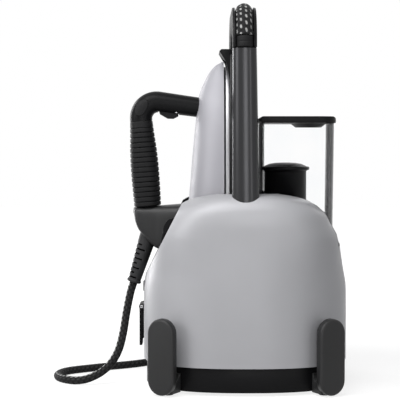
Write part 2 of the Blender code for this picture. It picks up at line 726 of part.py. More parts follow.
def cover_rings(grow, back, low, high):
    """Rings of the iron's cover, grown by a clearance."""
    rings = []
    count = 14
    face = SOLE_FACE - SOLE_THICK - SHIELD_THICK - 2 * GAP
    for i, (height, crest) in enumerate(COVER_CREST):
        z = height
        if i == 0:
            z = low
        if i == len(COVER_CREST) - 1:
            z = high
        half = sole_half(height, SOLE_TIP + 8) - 1.5 + grow
        reach = face - crest + grow
        ring = []
        for k in range(count + 1):
            angle = math.pi * k / count
            c, s = math.cos(angle), math.sin(angle)
            across = half * math.copysign(abs(c) ** (2 / 2.2), c)
            ring.append((face - reach * max(s, 0) ** (2 / 2.2), across, z))
        if back:
            ring = [(face + back, half, z)] + ring + [(face + back, -half, z)]
        rings.append(ring)
    return rings


def make_iron_body():
    """The sole, the heat shield, the heated casting and the hollow cover."""
    face = SOLE_FACE - SOLE_THICK
    sole = prism("soleplate", sole_outline(0, SOLE_LOW, SOLE_TIP), "X", face, SOLE_FACE, "aluminium")
    holes = [rod(f"cut_steam_{i}", "X", (side * (sole_half(z, SOLE_TIP) - 9), z), 1.6, face + 1.5, 0, count=8)
             for i, (side, z) in enumerate((s, z) for s in (-1, 1) for z in (242, 268, 294, 317))]
    carve(sole, holes)
    shield = face - GAP
    prism("heat_shield", sole_outline(1.2, SOLE_LOW + 2, SOLE_TIP - 2), "X", shield - SHIELD_THICK, shield,
          "black")
    back = shield - SHIELD_THICK - GAP
    cast = [(y * 0.62, 262 + (z - 262) * 0.72) for y, z in sole_outline(3, SOLE_LOW + 8, SOLE_TIP - 8)]
    prism("iron_casting", cast, "X", back - 15, back, "aluminium")
    low, high = COVER_CREST[0][0], COVER_CREST[-1][0]
    cover = loft("iron_cover", cover_rings(0, 0, low, high), "cover_grey")
    inside = cover_rings(-COVER_WALL, 4, low + COVER_WALL, high - COVER_WALL)
    carve(cover, [loft("cut_cover_inside", inside)])


def handle_line():
    """The handle's middle line from the cover to the top of the grip, as (X, Z)."""
    path = bent(POST_START, HANDLE_CORNER, GRIP_END, 19.5, 8)
    grip = (Vector(GRIP_END) - Vector(HANDLE_CORNER)).normalized()
    share = (HANDLE_CORNER[1] - GRIP_TOP_Z) / -grip.y
    path[-1] = Vector(HANDLE_CORNER) + grip * share
    return path


def cross_rings(path, halves, sides, power, count, square=None):
    """Rings across a path of (X, Z), with a half size in its plane and one along Y at each point."""
    rings = []
    for i, point in enumerate(path):
        ahead = path[min(i + 1, len(path) - 1)] - path[max(i - 1, 0)]
        if square is not None:
            ahead = square
        out = Vector((-ahead.y, ahead.x)).normalized()
        rings.append([(point.x + out.x * a, b, point.y + out.y * a)
                      for a, b in oval(0, 0, halves[i], sides[i], power, count)])
    return rings


def arm_rings(grow):
    """Rings of the post and the corner of the handle."""
    path = handle_line()
    steps = len(path)
    halves = [POST_HALF + grow + 1.6 * min(i / (steps - 1) * 1.4, 1) for i in range(steps)]
    sides = [POST_HALF_Y + grow + 1.0 * min(i / (steps - 1) * 1.4, 1) for i in range(steps)]
    return cross_rings(path, halves, sides, 2.3, 24)


def make_handle():
    """The handle with its core, the grip sleeve around it, and the cover's clearance."""
    clear = loft("cut_arm_cover", cover_rings(GAP, 3, COVER_LOW - GAP, COVER_CREST[-1][0] + GAP))
    arm = loft("handle_arm", arm_rings(0), "black")
    grip = (Vector(GRIP_END) - Vector(HANDLE_CORNER)).normalized()
    top = handle_line()[-1]
    core = [top - grip * 4, Vector(GRIP_END)]
    carve(arm, [loft("add_core", cross_rings(core, [CORE_RADIUS] * 2, [CORE_RADIUS] * 2, 2, 16, grip))],
          "UNION")
    slot = box("cut_trigger_slot", (-95.5, -70.5), (-TRIGGER_HALF_Y - GAP, TRIGGER_HALF_Y + GAP), (300, 331.5))
    pin_hole = rod("cut_arm_pin", "Y", TRIGGER_PIN, PIN_RADIUS + GAP, -9.3, 9.3, count=12)
    pocket = prism("cut_thumb", thumb_outline(GAP), "Y", -20, -9)
    carve(arm, [clear, slot, pin_hole, pocket])
    length = (Vector(GRIP_END) - top).length - GAP
    path = [top + grip * (GAP + (length - GAP) * i / 6) for i in range(7)]
    halves = [13.4, 14.6, 16.0, 16.7, 16.8, 16.5, 16.0]
    sides = [SLEEVE_HALF_Y + min(h - 13.4, 1.5) for h in halves]
    sleeve = loft("grip_sleeve", cross_rings(path, halves, sides, 2.3, 24, grip), "rubber")
    bore = [top - grip * 3, Vector(GRIP_END) + grip * 5]
    radius = CORE_RADIUS + GAP
    carve(sleeve, [loft("cut_sleeve", cross_rings(bore, [radius] * 2, [radius] * 2, 2, 16, grip))])


def thumb_outline(grow):
    """The tilted oval of the thumb button, as (X, Z)."""
    tilt = math.radians(60)
    points = []
    for a, b in oval(0, 0, 10.5 + grow, 6.5 + grow, 2.2, 20):
        points.append((-115.0 + a * math.cos(tilt) - b * math.sin(tilt),
                       329.5 + a * math.sin(tilt) + b * math.cos(tilt)))
    return points


def make_iron_controls():
    """The thumb button, the steam trigger and the trigger's pin."""
    button = prism("thumb_button", thumb_outline(0), "Y", -18, -9 - 2.2, "black")
    carve(button, [loft("mask_thumb", arm_rings(0.7))], "INTERSECT")
    outline = [(-71.2, 319.2), (-71.2, 325.5), (-74, 328), (-91, 329), (-94.3, 326), (-93, 321.5),
               (-84, 316.4), (-77, 316.2)]
    trigger = prism("steam_trigger", outline, "Y", -TRIGGER_HALF_Y, TRIGGER_HALF_Y, "rubber",
                    (TRIGGER_PIN[0], 0, TRIGGER_PIN[1]))
    carve(trigger, [rod("cut_trigger_pin", "Y", TRIGGER_PIN, PIN_RADIUS + GAP, -9, 9, count=12)])
    rod("trigger_pin", "Y", TRIGGER_PIN, PIN_RADIUS, -9, 9, "steel", 12)


def heel_top(x):
    """Height of the heel block's top, square to the grip."""
    grip = (Vector(GRIP_END) - Vector(HANDLE_CORNER)).normalized()
    return GRIP_END[1] - GAP + (x - GRIP_END[0]) * -grip.x / grip.y


def make_heel():
    """The block that joins the grip to the cover and that the iron stands on."""
    stations = ((-124.2, 202.5, 9), (-122, 192, 14), (-118, 183, 16), (-108, 171, 17), (-99, 162.5, 18),
                (-92, HEEL_FLOOR, 20), (-75, HEEL_FLOOR, 24), (-46, HEEL_FLOOR, 28))
    rings = []
    for x, low, half in stations:
        high = heel_top(x)
        middle, tall = (low + high) / 2, (high - low) / 2
        rings.append([(x, y, z) for y, z in oval(0, middle, half, tall, 4.5, 24)])
    heel = loft("heel_block", rings, "black")
    clear = loft("cut_heel_cover", cover_rings(GAP, 3, COVER_LOW - GAP, COVER_CREST[-1][0] + GAP))
    carve(heel, [clear])


def boot_ring(share, grow):
    """A ring of the hose boot at a share of its length."""
    start, end = Vector(BOOT_START), Vector(BOOT_END)
    axis = (end - start).normalized()
    radius = BOOT_RADII[0] + share * (BOOT_RADII[1] - BOOT_RADII[0]) + grow
    middle = start.lerp(end, share)
    out = Vector((-axis.y, axis.x))
    return [(middle.x + out.x * a, b, middle.y + out.y * a) for a, b in oval(0, 0, radius, radius, 2, 20)]


def make_boot():
    """The strain relief of the hose with its end bead, cut off where it meets the heel block."""
    rings = [boot_ring(0, 0), boot_ring(0.3, 0), boot_ring(0.93, 0), boot_ring(0.95, 0.8),
             boot_ring(1, 0.8)]
    boot = loft("hose_boot", rings, "rubber")
    block = [(-140, heel_low(-140)), (-122, heel_low(-122)), (-108, heel_low(-108)), (-99, heel_low(-99)),
             (-85, 158), (-85, 230), (-140, 230)]
    carve(boot, [prism("cut_boot", block, "Y", -30, 30)])


def heel_low(x):
    """Height just under the heel block's slanted underside, with a clearance."""
    if x <= -122:
        return 192 - GAP - 0.5
    if x <= -118:
        return 192 - (x + 122) * 9 / 4 - GAP - 0.5
    return 183 - (x + 118) * 12 / 10 - GAP - 0.5


# ---------------------------------------------------------------- water tank

def tank_rings(inset, levels):
    """Rings of the tank, slightly narrower below."""
    rings = []
    for z in levels:
        low = TANK_TAPER * (TANK_TOP - z) / (TANK_TOP - TANK_LOW)
        rings.append([(x, y, z) for x, y in rounded(TANK_LEFT + inset, TANK_RIGHT - low - inset,
                                                    -TANK_HALF_Y + inset, TANK_HALF_Y - inset,
                                                    TANK_CORNER - inset, 5)])
    return rings


def lid_axis():
    """The lid's hinge axis, in the middle of its rounded end, as (X, Z)."""
    return (TANK_LEFT + LID_HIGH / 2, TANK_TOP + GAP + LID_HIGH / 2)


def make_tank():
    """The clear tank with hinge ears, its valve, and the seat that the valve opens on."""
    tank = loft("tank", tank_rings(0, (TANK_LOW, TANK_TOP)), "clear", (VALVE_X, 0, TANK_LOW))
    carve(tank, [loft("cut_tank_inside", tank_rings(WALL, (TANK_LOW + WALL, TANK_TOP + 5))),
                 rod("cut_tank_valve", "Z", (VALVE_X, 0), VALVE_RADIUS + GAP, TANK_LOW - 5, TANK_LOW + 10)])
    x, z = lid_axis()
    for side in (-1, 1):
        ear = [(TANK_LEFT + 1, 296), (TANK_LEFT + 5, 296), (x + 3.3, z - 4)]
        ear += [(x + 3.3 * math.cos(math.radians(a)), z + 3.3 * math.sin(math.radians(a)))
                for a in range(0, 181, 30)]
        ear += [(TANK_LEFT + 1, z - 4)]
        carve(tank, [prism(f"add_ear_{side}", ear, "Y", *sorted((side * 11, side * 15)))], "UNION")
    carve(tank, [rod("cut_tank_pin", "Y", (x, z), 1.5 + GAP, -20, 20, count=12)])
    low = TANK_LOW - 2.0 + 0.6
    turned("tank_valve", [(0, low), (5, low), (5, low + 1), (VALVE_RADIUS, low + 1),
                          (VALVE_RADIUS, TANK_LOW + WALL + GAP), (VALVE_RADIUS + 2, TANK_LOW + WALL + GAP),
                          (VALVE_RADIUS + 2, TANK_LOW + WALL + 3), (3, TANK_LOW + WALL + 9),
                          (0, TANK_LOW + WALL + 9)], "Z", (VALVE_X, 0), "rubber")
    top = TANK_BAY_FLOOR + WALL
    turned("tank_seat", [(3.5, 148), (6, 148), (6, 158), (VALVE_RADIUS + 2, 160), (VALVE_RADIUS + 2, top),
                         (VALVE_RADIUS - 1, top), (3.5, 162)], "Z", (VALVE_X, 0), "silicone", ring=True)


def make_lid():
    """The lid with its round hinge end and the dish sunk into the tank, and the lid's pin."""
    x, z = lid_axis()
    half = LID_HIGH / 2
    right = TANK_RIGHT + LID_OVER
    outline = [(x + half * math.cos(math.radians(a)), z + half * math.sin(math.radians(a)))
               for a in range(90, 271, 22)]
    outline += [(right - 1.5, z - half), (right, z - half + 1.5)]
    turns = [math.radians(a) for a in range(0, 91, 30)]
    outline += [(right - 4.5 + 4.5 * math.cos(a), z + half - 4.5 + 4.5 * math.sin(a)) for a in turns]
    lid = prism("tank_lid", outline, "Y", -TANK_HALF_Y, TANK_HALF_Y, "black", (x, 0, z))
    plan = rounded(TANK_LEFT - 5, right + 0.5, -TANK_HALF_Y, TANK_HALF_Y, TANK_CORNER, 5)
    plan = [(px if px > x + 10 else TANK_LEFT - 5, py) for px, py in plan]
    plan = plan[:6] + [(TANK_LEFT - 5, TANK_HALF_Y), (TANK_LEFT - 5, -TANK_HALF_Y)] + plan[-6:]
    carve(lid, [prism("mask_lid", plan, "Z", z - 20, z + 20)], "INTERSECT")
    dish = turned("add_dish", [(0, z - half - 4.6), (15.6, z - half - 4.6), (22.8, z - half + 1),
                               (0, z - half + 1)], "Z", (84.4, 0))
    carve(lid, [dish], "UNION")
    hollow = turned("cut_dish", [(0, z - half - 2.6), (13.8, z - half - 2.6), (21.5, z + half + 4),
                                 (0, z + half + 4)], "Z", (84.4, 0))
    slots = [box(f"cut_lid_slot_{side}", (TANK_LEFT - 5, x + 4.5), sorted((side * 10.7, side * 15.3)),
                 (z - 10, z + 10)) for side in (-1, 1)]
    carve(lid, [hollow, rod("cut_lid_pin", "Y", (x, z), 1.5 + GAP, -20, 20, count=12)] + slots)
    rod("lid_pin", "Y", (x, z), 1.5, -19.5, 19.5, "steel", 12)


def make_cartridge():
    """The filter cartridge standing in the tank."""
    low = TANK_LOW + WALL + GAP
    turned("filter_cartridge", [(0, low), (CARTRIDGE_RADIUS - 2, low), (CARTRIDGE_RADIUS, low + 2),
                                (CARTRIDGE_RADIUS, FLANGE_Z - 2), (FLANGE_RADIUS, FLANGE_Z),
                                (FLANGE_RADIUS, FLANGE_Z + 4), (CARTRIDGE_RADIUS, FLANGE_Z + 5),
                                (CARTRIDGE_RADIUS - 1, FLANGE_Z + 9), (0, FLANGE_Z + 9)],
           "Z", (CARTRIDGE_X, 0), "black", 28)


# ---------------------------------------------------------------- side flap, drain and power button

def make_flap():
    """The hinged flap over the drain, and its hollow pin."""
    x, z = FLAP_PIN
    inner = SHELL_LEFT - GAP
    outer = x - KNUCKLE + 0.6
    round_top = [(x + KNUCKLE * math.cos(math.radians(a)), z + KNUCKLE * math.sin(math.radians(a)))
                 for a in range(-30, 211, 30)]
    outline = round_top + [(outer, z - 8), (outer, FLAP_LOW), (outer + 3.2, FLAP_LOW),
                           (outer + 3.4, FLAP_STEP - 1), (inner, FLAP_STEP + 1), (inner, z - 6)]
    flap = prism("drain_flap", outline, "Y", FLAP_Y - FLAP_HALF_Y, FLAP_Y + FLAP_HALF_Y, "black",
                 (x, FLAP_Y, z))
    carve(flap, [rod("cut_flap_pin", "Y", FLAP_PIN, 2 + GAP, FLAP_Y - 20, FLAP_Y + 20, count=16)])
    rod("flap_pin", "Y", FLAP_PIN, 2.0, FLAP_Y - FLAP_HALF_Y - 3.5, FLAP_Y + FLAP_HALF_Y + 3.5,
        "steel", 16, 1.2)


def make_drain():
    """The boiler's drain neck and the plug screwed into it."""
    start = SHELL_LEFT + 1.2
    end = BOILER_X - math.sqrt(BOILER_RADIUS ** 2 - (FLAP_Y - 7.5) ** 2) - GAP
    at = (FLAP_Y, DRAIN_Z)
    turned("drain_neck", [(6.3, start + 6), (DRAIN_RADIUS, start + 6), (DRAIN_RADIUS, start + 14),
                          (7.5, start + 16), (7.5, end), (6.3, end)], "X", at, "brass", ring=True)
    turned("drain_plug", [(0, start), (DRAIN_RADIUS - 1, start), (DRAIN_RADIUS - 0.2, start + 1),
                          (DRAIN_RADIUS - 0.2, start + 5.7), (6, start + 5.7), (6, start + 18),
                          (0, start + 18)],
           "X", at, "black", origin=(start, FLAP_Y, DRAIN_Z))


def make_power_button():
    """The push button in the side of the base, and its switch."""
    face = SHELL_LEFT + 0.3
    button = prism("power_button", rounded(-12, 12, BUTTON_Z - 6, BUTTON_Z + 6, 5.2), "X", face - 0.9,
                   face + 2.4, "black", (face, 0, BUTTON_Z))
    carve(button, [prism("cut_button_dish", rounded(-9, 9, BUTTON_Z - 3.5, BUTTON_Z + 3.5, 3.3), "X",
                         face - 3, face - 0.4)])
    back = face + 2.4 + BUTTON_TRAVEL + GAP
    box("power_switch", (back, back + 9), (-7, 7), (BUTTON_Z - 10 + GAP, BUTTON_Z + 8), "black")


# ---------------------------------------------------------------- works inside the base

def make_boiler():
    """The boiler with its brazed-on heater, its thermostat and its safety valve."""
    at = (BOILER_X, 0)
    low, high, radius = BOILER_LOW, BOILER_HIGH, BOILER_RADIUS
    turned("boiler", [(0, low), (20, low), (20, low - 9), (34, low - 9), (34, low), (radius - 6, low),
                      (radius, low + 6), (radius, high - 10), (radius - 4, high - 3), (radius - 12, high),
                      (0, high)], "Z", at, "steel", 24)
    rod("thermostat", "Z", (BOILER_X - 18, 12), 7, high + GAP, high + 11, "black", 16)
    turned("safety_valve", [(0, high + GAP), (6, high + GAP), (6, high + 5), (8, high + 6), (8, high + 14),
                            (4, high + 16), (4, high + 22), (0, high + 22)], "Z", (BOILER_X + 12, -14),
           "brass", 16)


def make_pump():
    """The pump on its rubber mount, and the solenoid valve for the steam."""
    x, y = PUMP_AT
    floor = PAN_BOTTOM + PAN_FLOOR + GAP
    box("pump_mount", (x - 16, x + 16), (y - 16, y + 16), (floor, 19), "rubber")
    pump = prism("pump", rounded(x - 18, x + 18, y - 18, y + 18, 5), "Z", 19 + GAP, 62, "black")
    carve(pump, [rod("add_pump_neck", "Z", (x + 8, y), 5, 60, 72, count=16)], "UNION")
    x, y = VALVE_AT
    valve = box("steam_valve", (x - 14, x + 14), (y - 14, y + 14), (floor, 44), "black")
    carve(valve, [rod("add_valve_coil", "Z", (x, y), 11, 43, 68)], "UNION")


def make_board():
    """The control board with its larger components."""
    floor = PAN_BOTTOM + PAN_FLOOR + GAP
    face = SHELL_X + SHELL_HALF_X - 25.2
    back = face + 0.5
    board = box("control_board", (face, face + 1.6), (-38, 38), (floor, 104), "board")
    parts = [box("add_relay", (face - 12, back), (-30, -12), (60, 76)),
             box("add_transformer", (face - 16, back), (2, 30), (52, 80)),
             box("add_terminal", (face - 8, back), (-30, 24), (86, 96))]
    carve(board, parts, "UNION")


def make_tubes():
    """The water and steam tubes between the works."""
    px, py = PUMP_AT
    vx, vy = VALVE_AT
    edge = 2 * GAP
    tube("water_tube", [(VALVE_X, 0, 148 - edge), (VALVE_X, 0, 132), (VALVE_X - 4, -8, 116),
                        (px + 12, py + 6, 102), (px + 8, py, 90), (px + 8, py, 72 + edge)],
         3.5, "silicone", 2, 1.4)
    tube("feed_tube", [(px - 18 - edge, py, 40), (px - 30, py, 41), (px - 37, py + 10, 47), (px - 34, py + 26, 58),
                       (BOILER_X + BOILER_RADIUS + 10, 0, 66), (BOILER_X + BOILER_RADIUS + edge, 0, 66)],
         3.5, "silicone", 2, 1.4)
    tube("steam_tube", [(BOILER_X + 8, 20, BOILER_HIGH + edge), (BOILER_X + 8, 20, 128), (BOILER_X + 18, 23, 140),
                        (30, 34, 142), (58, 41, 128), (vx, vy, 98), (vx, vy, 84), (vx, vy, 68 + edge)],
         3.5, "silicone", 2, 1.4)
    tube("outlet_tube", [(vx - 14 - edge, vy, 24), (vx - 30, vy + 2, 24), (20, 58, 21), (-10, 65, GLAND_Z),
                         (-34, 65, GLAND_Z), (GLAND_X, 70, GLAND_Z), (GLAND_X, gland_inner() - edge, GLAND_Z)],
         2.6, "silicone", 2, 1.8)


def rear_wall(x):
    """Y of the outside of the pan's rear wall at an X."""
    return PAN_HALF_Y * (1 - (abs(x - SHELL_X) / PAN_HALF_X) ** 2.5) ** 0.4


def gland_inner():
    """Y of the inner end of the hose gland."""
    return rear_wall(GLAND_X) - 12


def make_glands():
    """The hose's gland and the mains cord's gland in the pan's rear wall."""
    for name, x, bore in (("hose_gland", GLAND_X, HOSE_RADIUS - 2), ("mains_gland", MAINS_X, 3.6)):
        wall = rear_wall(x)
        inner, outer = wall - 12, wall + GLAND_OUT
        profile = [(bore, inner), (6, inner), (6, wall + 3.4), (10.5, wall + 3.4), (10.5, wall + 5),
                   (8.6, wall + 6), (7.4, outer), (bore, outer)]
        turned(name, profile, "Y", (x, GLAND_Z), "rubber", 20, True)


# ---------------------------------------------------------------- steam hose

def hose_route():
    """The hose from the boot to the coil behind the base, over the floor."""
    return [(-125.2, 0, 119.6), (-128.8, 0, 108), (-133.6, -3, 84), (-137, -7.5, 62), (-141, -13, 44.5),
            (-146, -17, 32.8), (-152.9, -20.5, 23.2), (-161.8, -23.6, 15.8), (-171.8, -26, 10.4),
            (-182, -26, 6.8), (-194, -22.5, 5.0), (-206.1, -14.1, 4.8), (-214.6, -2, 4.8),
            (-218.4, 12.3, 4.8), (-217.1, 27, 4.8), (-210.9, 40.4, 4.8), (-200.4, 50.9, 4.8),
            (-188, 59.4, 4.8), (-172, 69.6, 4.8), (-155, 78.6, 4.8), (-138, 88, 4.8), (-121, 99.5, 4.9),
            (-106, 111.5, 5.2), (-88, 118.5, 5.8), (-66, 121.25, 6.2),
            (-44, 121.25, 6.25), (-23.4, 121.25, 6.25)]


def make_hose():
    """The hose's free run, its coil with a tie, and the tail up to the gland."""
    tube("hose_run", hose_route(), HOSE_RADIUS, "textile", 2, 2.6)
    low, high = COIL_LIFT, COIL_LIFT + 4 * HOSE_RADIUS
    inner, outer = COIL_TURN - 2 * HOSE_RADIUS, COIL_TURN + 2 * HOSE_RADIUS
    cut = 2.5
    profile = [(inner, low + cut), (inner + cut, low), (outer - cut, low), (outer, low + cut),
               (outer, high - cut), (outer - cut, high), (inner + cut, high), (inner, high - cut)]
    turned("hose_coil", profile, "Z", COIL_AT, "textile", 28, True)
    x, top = GLAND_X, high - HOSE_RADIUS
    tube("hose_tail", [(x, rear_wall(x) + GLAND_OUT + GAP, GLAND_Z), (x, 114, 17.7), (x, 131, 16.2),
                       (x, COIL_AT[1] - 33.2, top)], HOSE_RADIUS, "textile", 2, 1.2)
    make_tie(inner, outer, high)


def make_tie(inner, outer, high):
    """The strap around the coil, on its far side."""
    x, y = COIL_AT
    room = GAP + 0.3
    flat = [(y + inner - room - TIE_THICK - 1, 0.0), (y + outer + room + TIE_THICK, 0.0),
            (y + outer + room + TIE_THICK, high + room + TIE_THICK),
            (y + inner - room - TIE_THICK - 1, high + room + TIE_THICK)]
    tie = prism("coil_tie", flat, "X", x - TIE_WIDTH / 2, x + TIE_WIDTH / 2, "textile")
    space = [(y + inner - room - 1, TIE_THICK), (y + outer + room, TIE_THICK), (y + outer + room, high + room),
             (y + inner - room - 1, high + room)]
    carve(tie, [prism("cut_tie", space, "X", x - TIE_WIDTH, x + TIE_WIDTH)])


# ---------------------------------------------------------------- assembly

IRON = ("soleplate", "heat_shield", "iron_casting", "iron_cover", "handle_arm", "grip_sleeve", "heel_block",
        "hose_boot", "thumb_button", "steam_trigger", "trigger_pin")
TANK = ("tank", "tank_valve", "filter_cartridge", "tank_lid", "lid_pin")


def gather(name, at, members):
    """An empty that carries a group of pieces without moving them."""
    empty = bpy.data.objects.new(name, None)
    empty.location = Vector(at) * MM
    bpy.context.collection.objects.link(empty)
    bpy.context.view_layer.update()
    for member in members:
        piece = bpy.data.objects[member]
        piece.parent = empty
        piece.matrix_parent_inverse = empty.matrix_world.inverted()


def main():
    for old in list(bpy.data.objects):
        bpy.data.objects.remove(old)
    make_shells()
    make_pan()
    make_feet()
    make_iron_dock()
    make_tank_bay()
    make_columns()
    make_bow()
    make_rest_plate()
    make_iron_body()
    make_handle()
    make_iron_controls()
    make_heel()
    make_boot()
    make_tank()
    make_lid()
    make_cartridge()
    make_flap()
    make_drain()
    make_power_button()
    make_boiler()
    make_pump()
    make_board()
    make_tubes()
    make_glands()
    make_hose()
    gather("iron_frame", (SOLE_FACE, 0, HEEL_FLOOR), IRON)
    gather("tank_frame", (VALVE_X, 0, TANK_LOW), TANK)


main()
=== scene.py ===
"""Looks of a steam ironing station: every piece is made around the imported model, in the model's own frame.

Sizes are in millimetres and MM turns them into metres. +X runs from the iron to the tank, +Y to the
back, +Z up.
"""
import math

import bmesh
import bpy
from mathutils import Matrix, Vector


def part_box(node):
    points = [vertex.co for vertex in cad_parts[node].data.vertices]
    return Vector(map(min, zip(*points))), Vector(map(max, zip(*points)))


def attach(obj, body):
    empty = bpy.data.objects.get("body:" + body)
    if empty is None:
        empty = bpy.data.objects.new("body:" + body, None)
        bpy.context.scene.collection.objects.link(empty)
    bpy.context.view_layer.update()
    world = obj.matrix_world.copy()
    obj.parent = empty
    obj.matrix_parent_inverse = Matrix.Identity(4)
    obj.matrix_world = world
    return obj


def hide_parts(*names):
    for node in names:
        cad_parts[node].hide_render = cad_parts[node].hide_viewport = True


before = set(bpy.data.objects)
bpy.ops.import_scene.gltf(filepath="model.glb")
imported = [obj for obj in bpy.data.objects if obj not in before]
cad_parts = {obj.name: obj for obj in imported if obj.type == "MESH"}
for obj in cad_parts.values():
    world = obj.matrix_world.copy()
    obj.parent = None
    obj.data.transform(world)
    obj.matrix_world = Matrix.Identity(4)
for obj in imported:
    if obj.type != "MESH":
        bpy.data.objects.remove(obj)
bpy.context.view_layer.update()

MM = 0.001
GAP = 0.3

# ---------------------------------------------------------------- driving sizes, as in the model

SHELL_X, SHELL_HALF_X, SHELL_HALF_Y = 8.4, 120.8, 100.0
SHELL_LOW, SHELL_WALL = 32.0, 2.5
# (height, inset along X, inset along Y, exponent of the oval plan)
SHELL_PROFILE = ((32, 0, 0, 2.5), (60, 0, 0, 2.5), (96.5, 0, 0, 2.5), (121, 0.6, 0, 2.5),
                 (137.4, 3.6, 0, 2.6), (154.7, 6.6, 0, 2.8), (171.8, 9.6, 0, 3.0), (181, 12.4, 0, 3.1),
                 (194.7, 20.3, 0, 3.2), (205.4, 26.3, 1.3, 3.2), (213.8, 36, 4.1, 3.2),
                 (221.5, 49.6, 9.4, 3.2), (225.6, 66, 15.4, 3.2), (228, 81.3, 24, 3.2))
SLANT_POINT, SLANT_LEAN = (-100.7, 149.9), (0.4549, 0.8906)
REST_X, REST_THICK = -9.6, 3.2
IRON_BAY_Y, IRON_BAY_FLOOR = 55.0, 157.4
TANK_BAY_X, TANK_BAY_Y, TANK_BAY_FLOOR = 21.5, 47.0, 166.5
COLUMN_Y, COLUMN_LOW, COLUMN_TOP, COLUMN_HALF_Y = 80.0, 192.0, 394.6, 12.0
COLUMN_HALF_X = (15.8, 13.9)
COLUMN_X = (7.1, 5.25)
BOW_HALF_X, BOW_HALF, BOW_BAR_Z, BOW_CORNER = 13.7, 12.0, 431.0, 32.0
ROPE_RADIUS, ROPE_OUT, PLUG_HIGH = 10.0, 7.0, 11.2
SOLE_FACE, SOLE_THICK, SOLE_LOW, SOLE_TIP, SOLE_HALF = -10.0, 5.0, 166.0, 380.0, 50.0
SHIELD_THICK = 1.4
COVER_CREST = ((172, -60.5), (200, -60.5), (218.9, -58.7), (242.9, -56.6), (272.9, -54.2), (314.9, -50.2),
               (335.3, -48.2), (347.9, -45.2), (359.3, -40.4), (370.7, -34.4), (379.7, -26.5), (383, -20.5))
POST_START, HANDLE_CORNER, GRIP_END = (-44.0, 329.5), (-117.5, 339.5), (-107.9, 211.6)
GRIP_TOP, HANDLE_BEND, HEEL_LOW = 313.5, 19.5, 160.2
THUMB_AT, THUMB_HALF, THUMB_TILT = (-115, 329.5), (10.5, 6.5), 60
BOOT_START, BOOT_END = (-108.8, 171.5), (-125.0, 120.2)
TANK_LEFT, TANK_RIGHT, TANK_HALF_Y, TANK_CORNER = 25.0, 113.2, 42.0, 22.0
TANK_LOW, TANK_TOP, TANK_WALL, TANK_TAPER = 171.0, 310.2, 2.5, 1.5
CARTRIDGE_X, CARTRIDGE_RADIUS, FLANGE_RADIUS, FLANGE_Z = 57.0, 25.2, 28.8, 255.0
FOOT_X, FOOT_OFF_X, FOOT_OFF_Y, FOOT_TURN = 7.4, 95.7, 95.0, 30.0
FOOT_WIDTH, FOOT_THICK, FOOT_LOW, FOOT_HIGH = 34.0, 10.0, 1.2, 88.5
PAN_HALF_X, PAN_HALF_Y = 117.5, 97.0
SCREW_X, SCREW_Y = 75.0, 72.0
HOSE_RADIUS = 4.75
# (meshes around, length of a mesh) of each braid
HOSE_BRAID, ROPE_BRAID = (4, 6.3), (5, 7.6)
COIL_AT, COIL_OUTER, COIL_INNER = (10.0, 178.0), 56.75, 47.25
COIL_LOW, COIL_HIGH = 6.25, 15.75
GLAND_AT = (-46.75, 18.0)
# (X, Z) of the front edge of the dock's cheeks, and where they stand across
CHEEK_EDGE = ((-75.3, 200.7), (-82.3, 198), (-86.8, 191.2), (-88.7, 182), (-90.7, 172.8), (-92.6, 166),
              (-94.5, 162.1))
CHEEK_Y = (52.2, 54.7)
FLOOR_GLOW = 0.8
# the camera, in metres, millimetres of lens and degrees below level
CAMERA_AT, CAMERA_LENS, CAMERA_DOWN = (-0.0452, -1.5, 0.2789), 112.5, 2.29


# ---------------------------------------------------------------- modelling helpers

def alone(piece=None):
    """Leaves only this piece selected and active."""
    if bpy.context.object and bpy.context.object.mode != "OBJECT":
        bpy.ops.object.mode_set(mode="OBJECT")
    bpy.ops.object.select_all(action="DESELECT")
    if piece is not None:
        piece.select_set(True)
        bpy.context.view_layer.objects.active = piece


def drawn(name, rings):
    """A closed skin drawn out from a circle, one extrusion for each further ring."""
    alone()
    bpy.ops.mesh.primitive_circle_add(vertices=len(rings[0]), radius=MM)
    piece = bpy.context.object
    piece.name = name
    bpy.ops.object.mode_set(mode="EDIT")
    bpy.ops.mesh.select_mode(type="VERT")
    bpy.ops.mesh.select_all(action="SELECT")
    shape = bmesh.from_edit_mesh(piece.data)
    shape.verts.ensure_lookup_table()
    for vertex, point in zip(shape.verts, rings[0]):
        vertex.co = Vector(point) * MM
    shape.faces.new(shape.verts)
    for before, ring in zip(rings, rings[1:]):
        places = {tuple(round(c, 3) for c in a): Vector(b) * MM for a, b in zip(before, ring)}
        bpy.ops.mesh.extrude_edges_move()
        shape = bmesh.from_edit_mesh(piece.data)
        fresh_ring = {vertex for vertex in shape.verts if vertex.select}
        for vertex in fresh_ring:
            key = tuple(round(c / MM, 3) for c in vertex.co)
            vertex.co = places.get(key) or nearest(places, key)
        only_ring(shape, fresh_ring)
    bpy.ops.mesh.edge_face_add()
    bpy.ops.mesh.select_all(action="SELECT")
    bpy.ops.mesh.normals_make_consistent(inside=False)
    bpy.ops.object.mode_set(mode="OBJECT")
    return piece


def only_ring(shape, ring):
    """Selects the edges of a ring and nothing else."""
    for face in shape.faces:
        face.select = False
    for vertex in shape.verts:
        vertex.select = vertex in ring
    for edge in {edge for vertex in ring for edge in vertex.link_edges}:
        edge.select = edge.verts[0] in ring and edge.verts[1] in ring


def nearest(places, key):
    """The target whose start is nearest to a place."""
    return places[min(places, key=lambda k: sum((a - b) ** 2 for a, b in zip(k, key)))]


def place(axis, across, up, along):
    """A point from its two coordinates across an axis and one along it."""
    if axis == "X":
        return (along, across, up)
    if axis == "Y":
        return (across, along, up)
    return (across, up, along)


def slab(name, outline, axis, low, high):
    """An outline extruded along an axis: (Y, Z) along X, (X, Z) along Y, (X, Y) along Z."""
    return drawn(name, [[place(axis, a, b, at) for a, b in outline] for at in (low, high)])


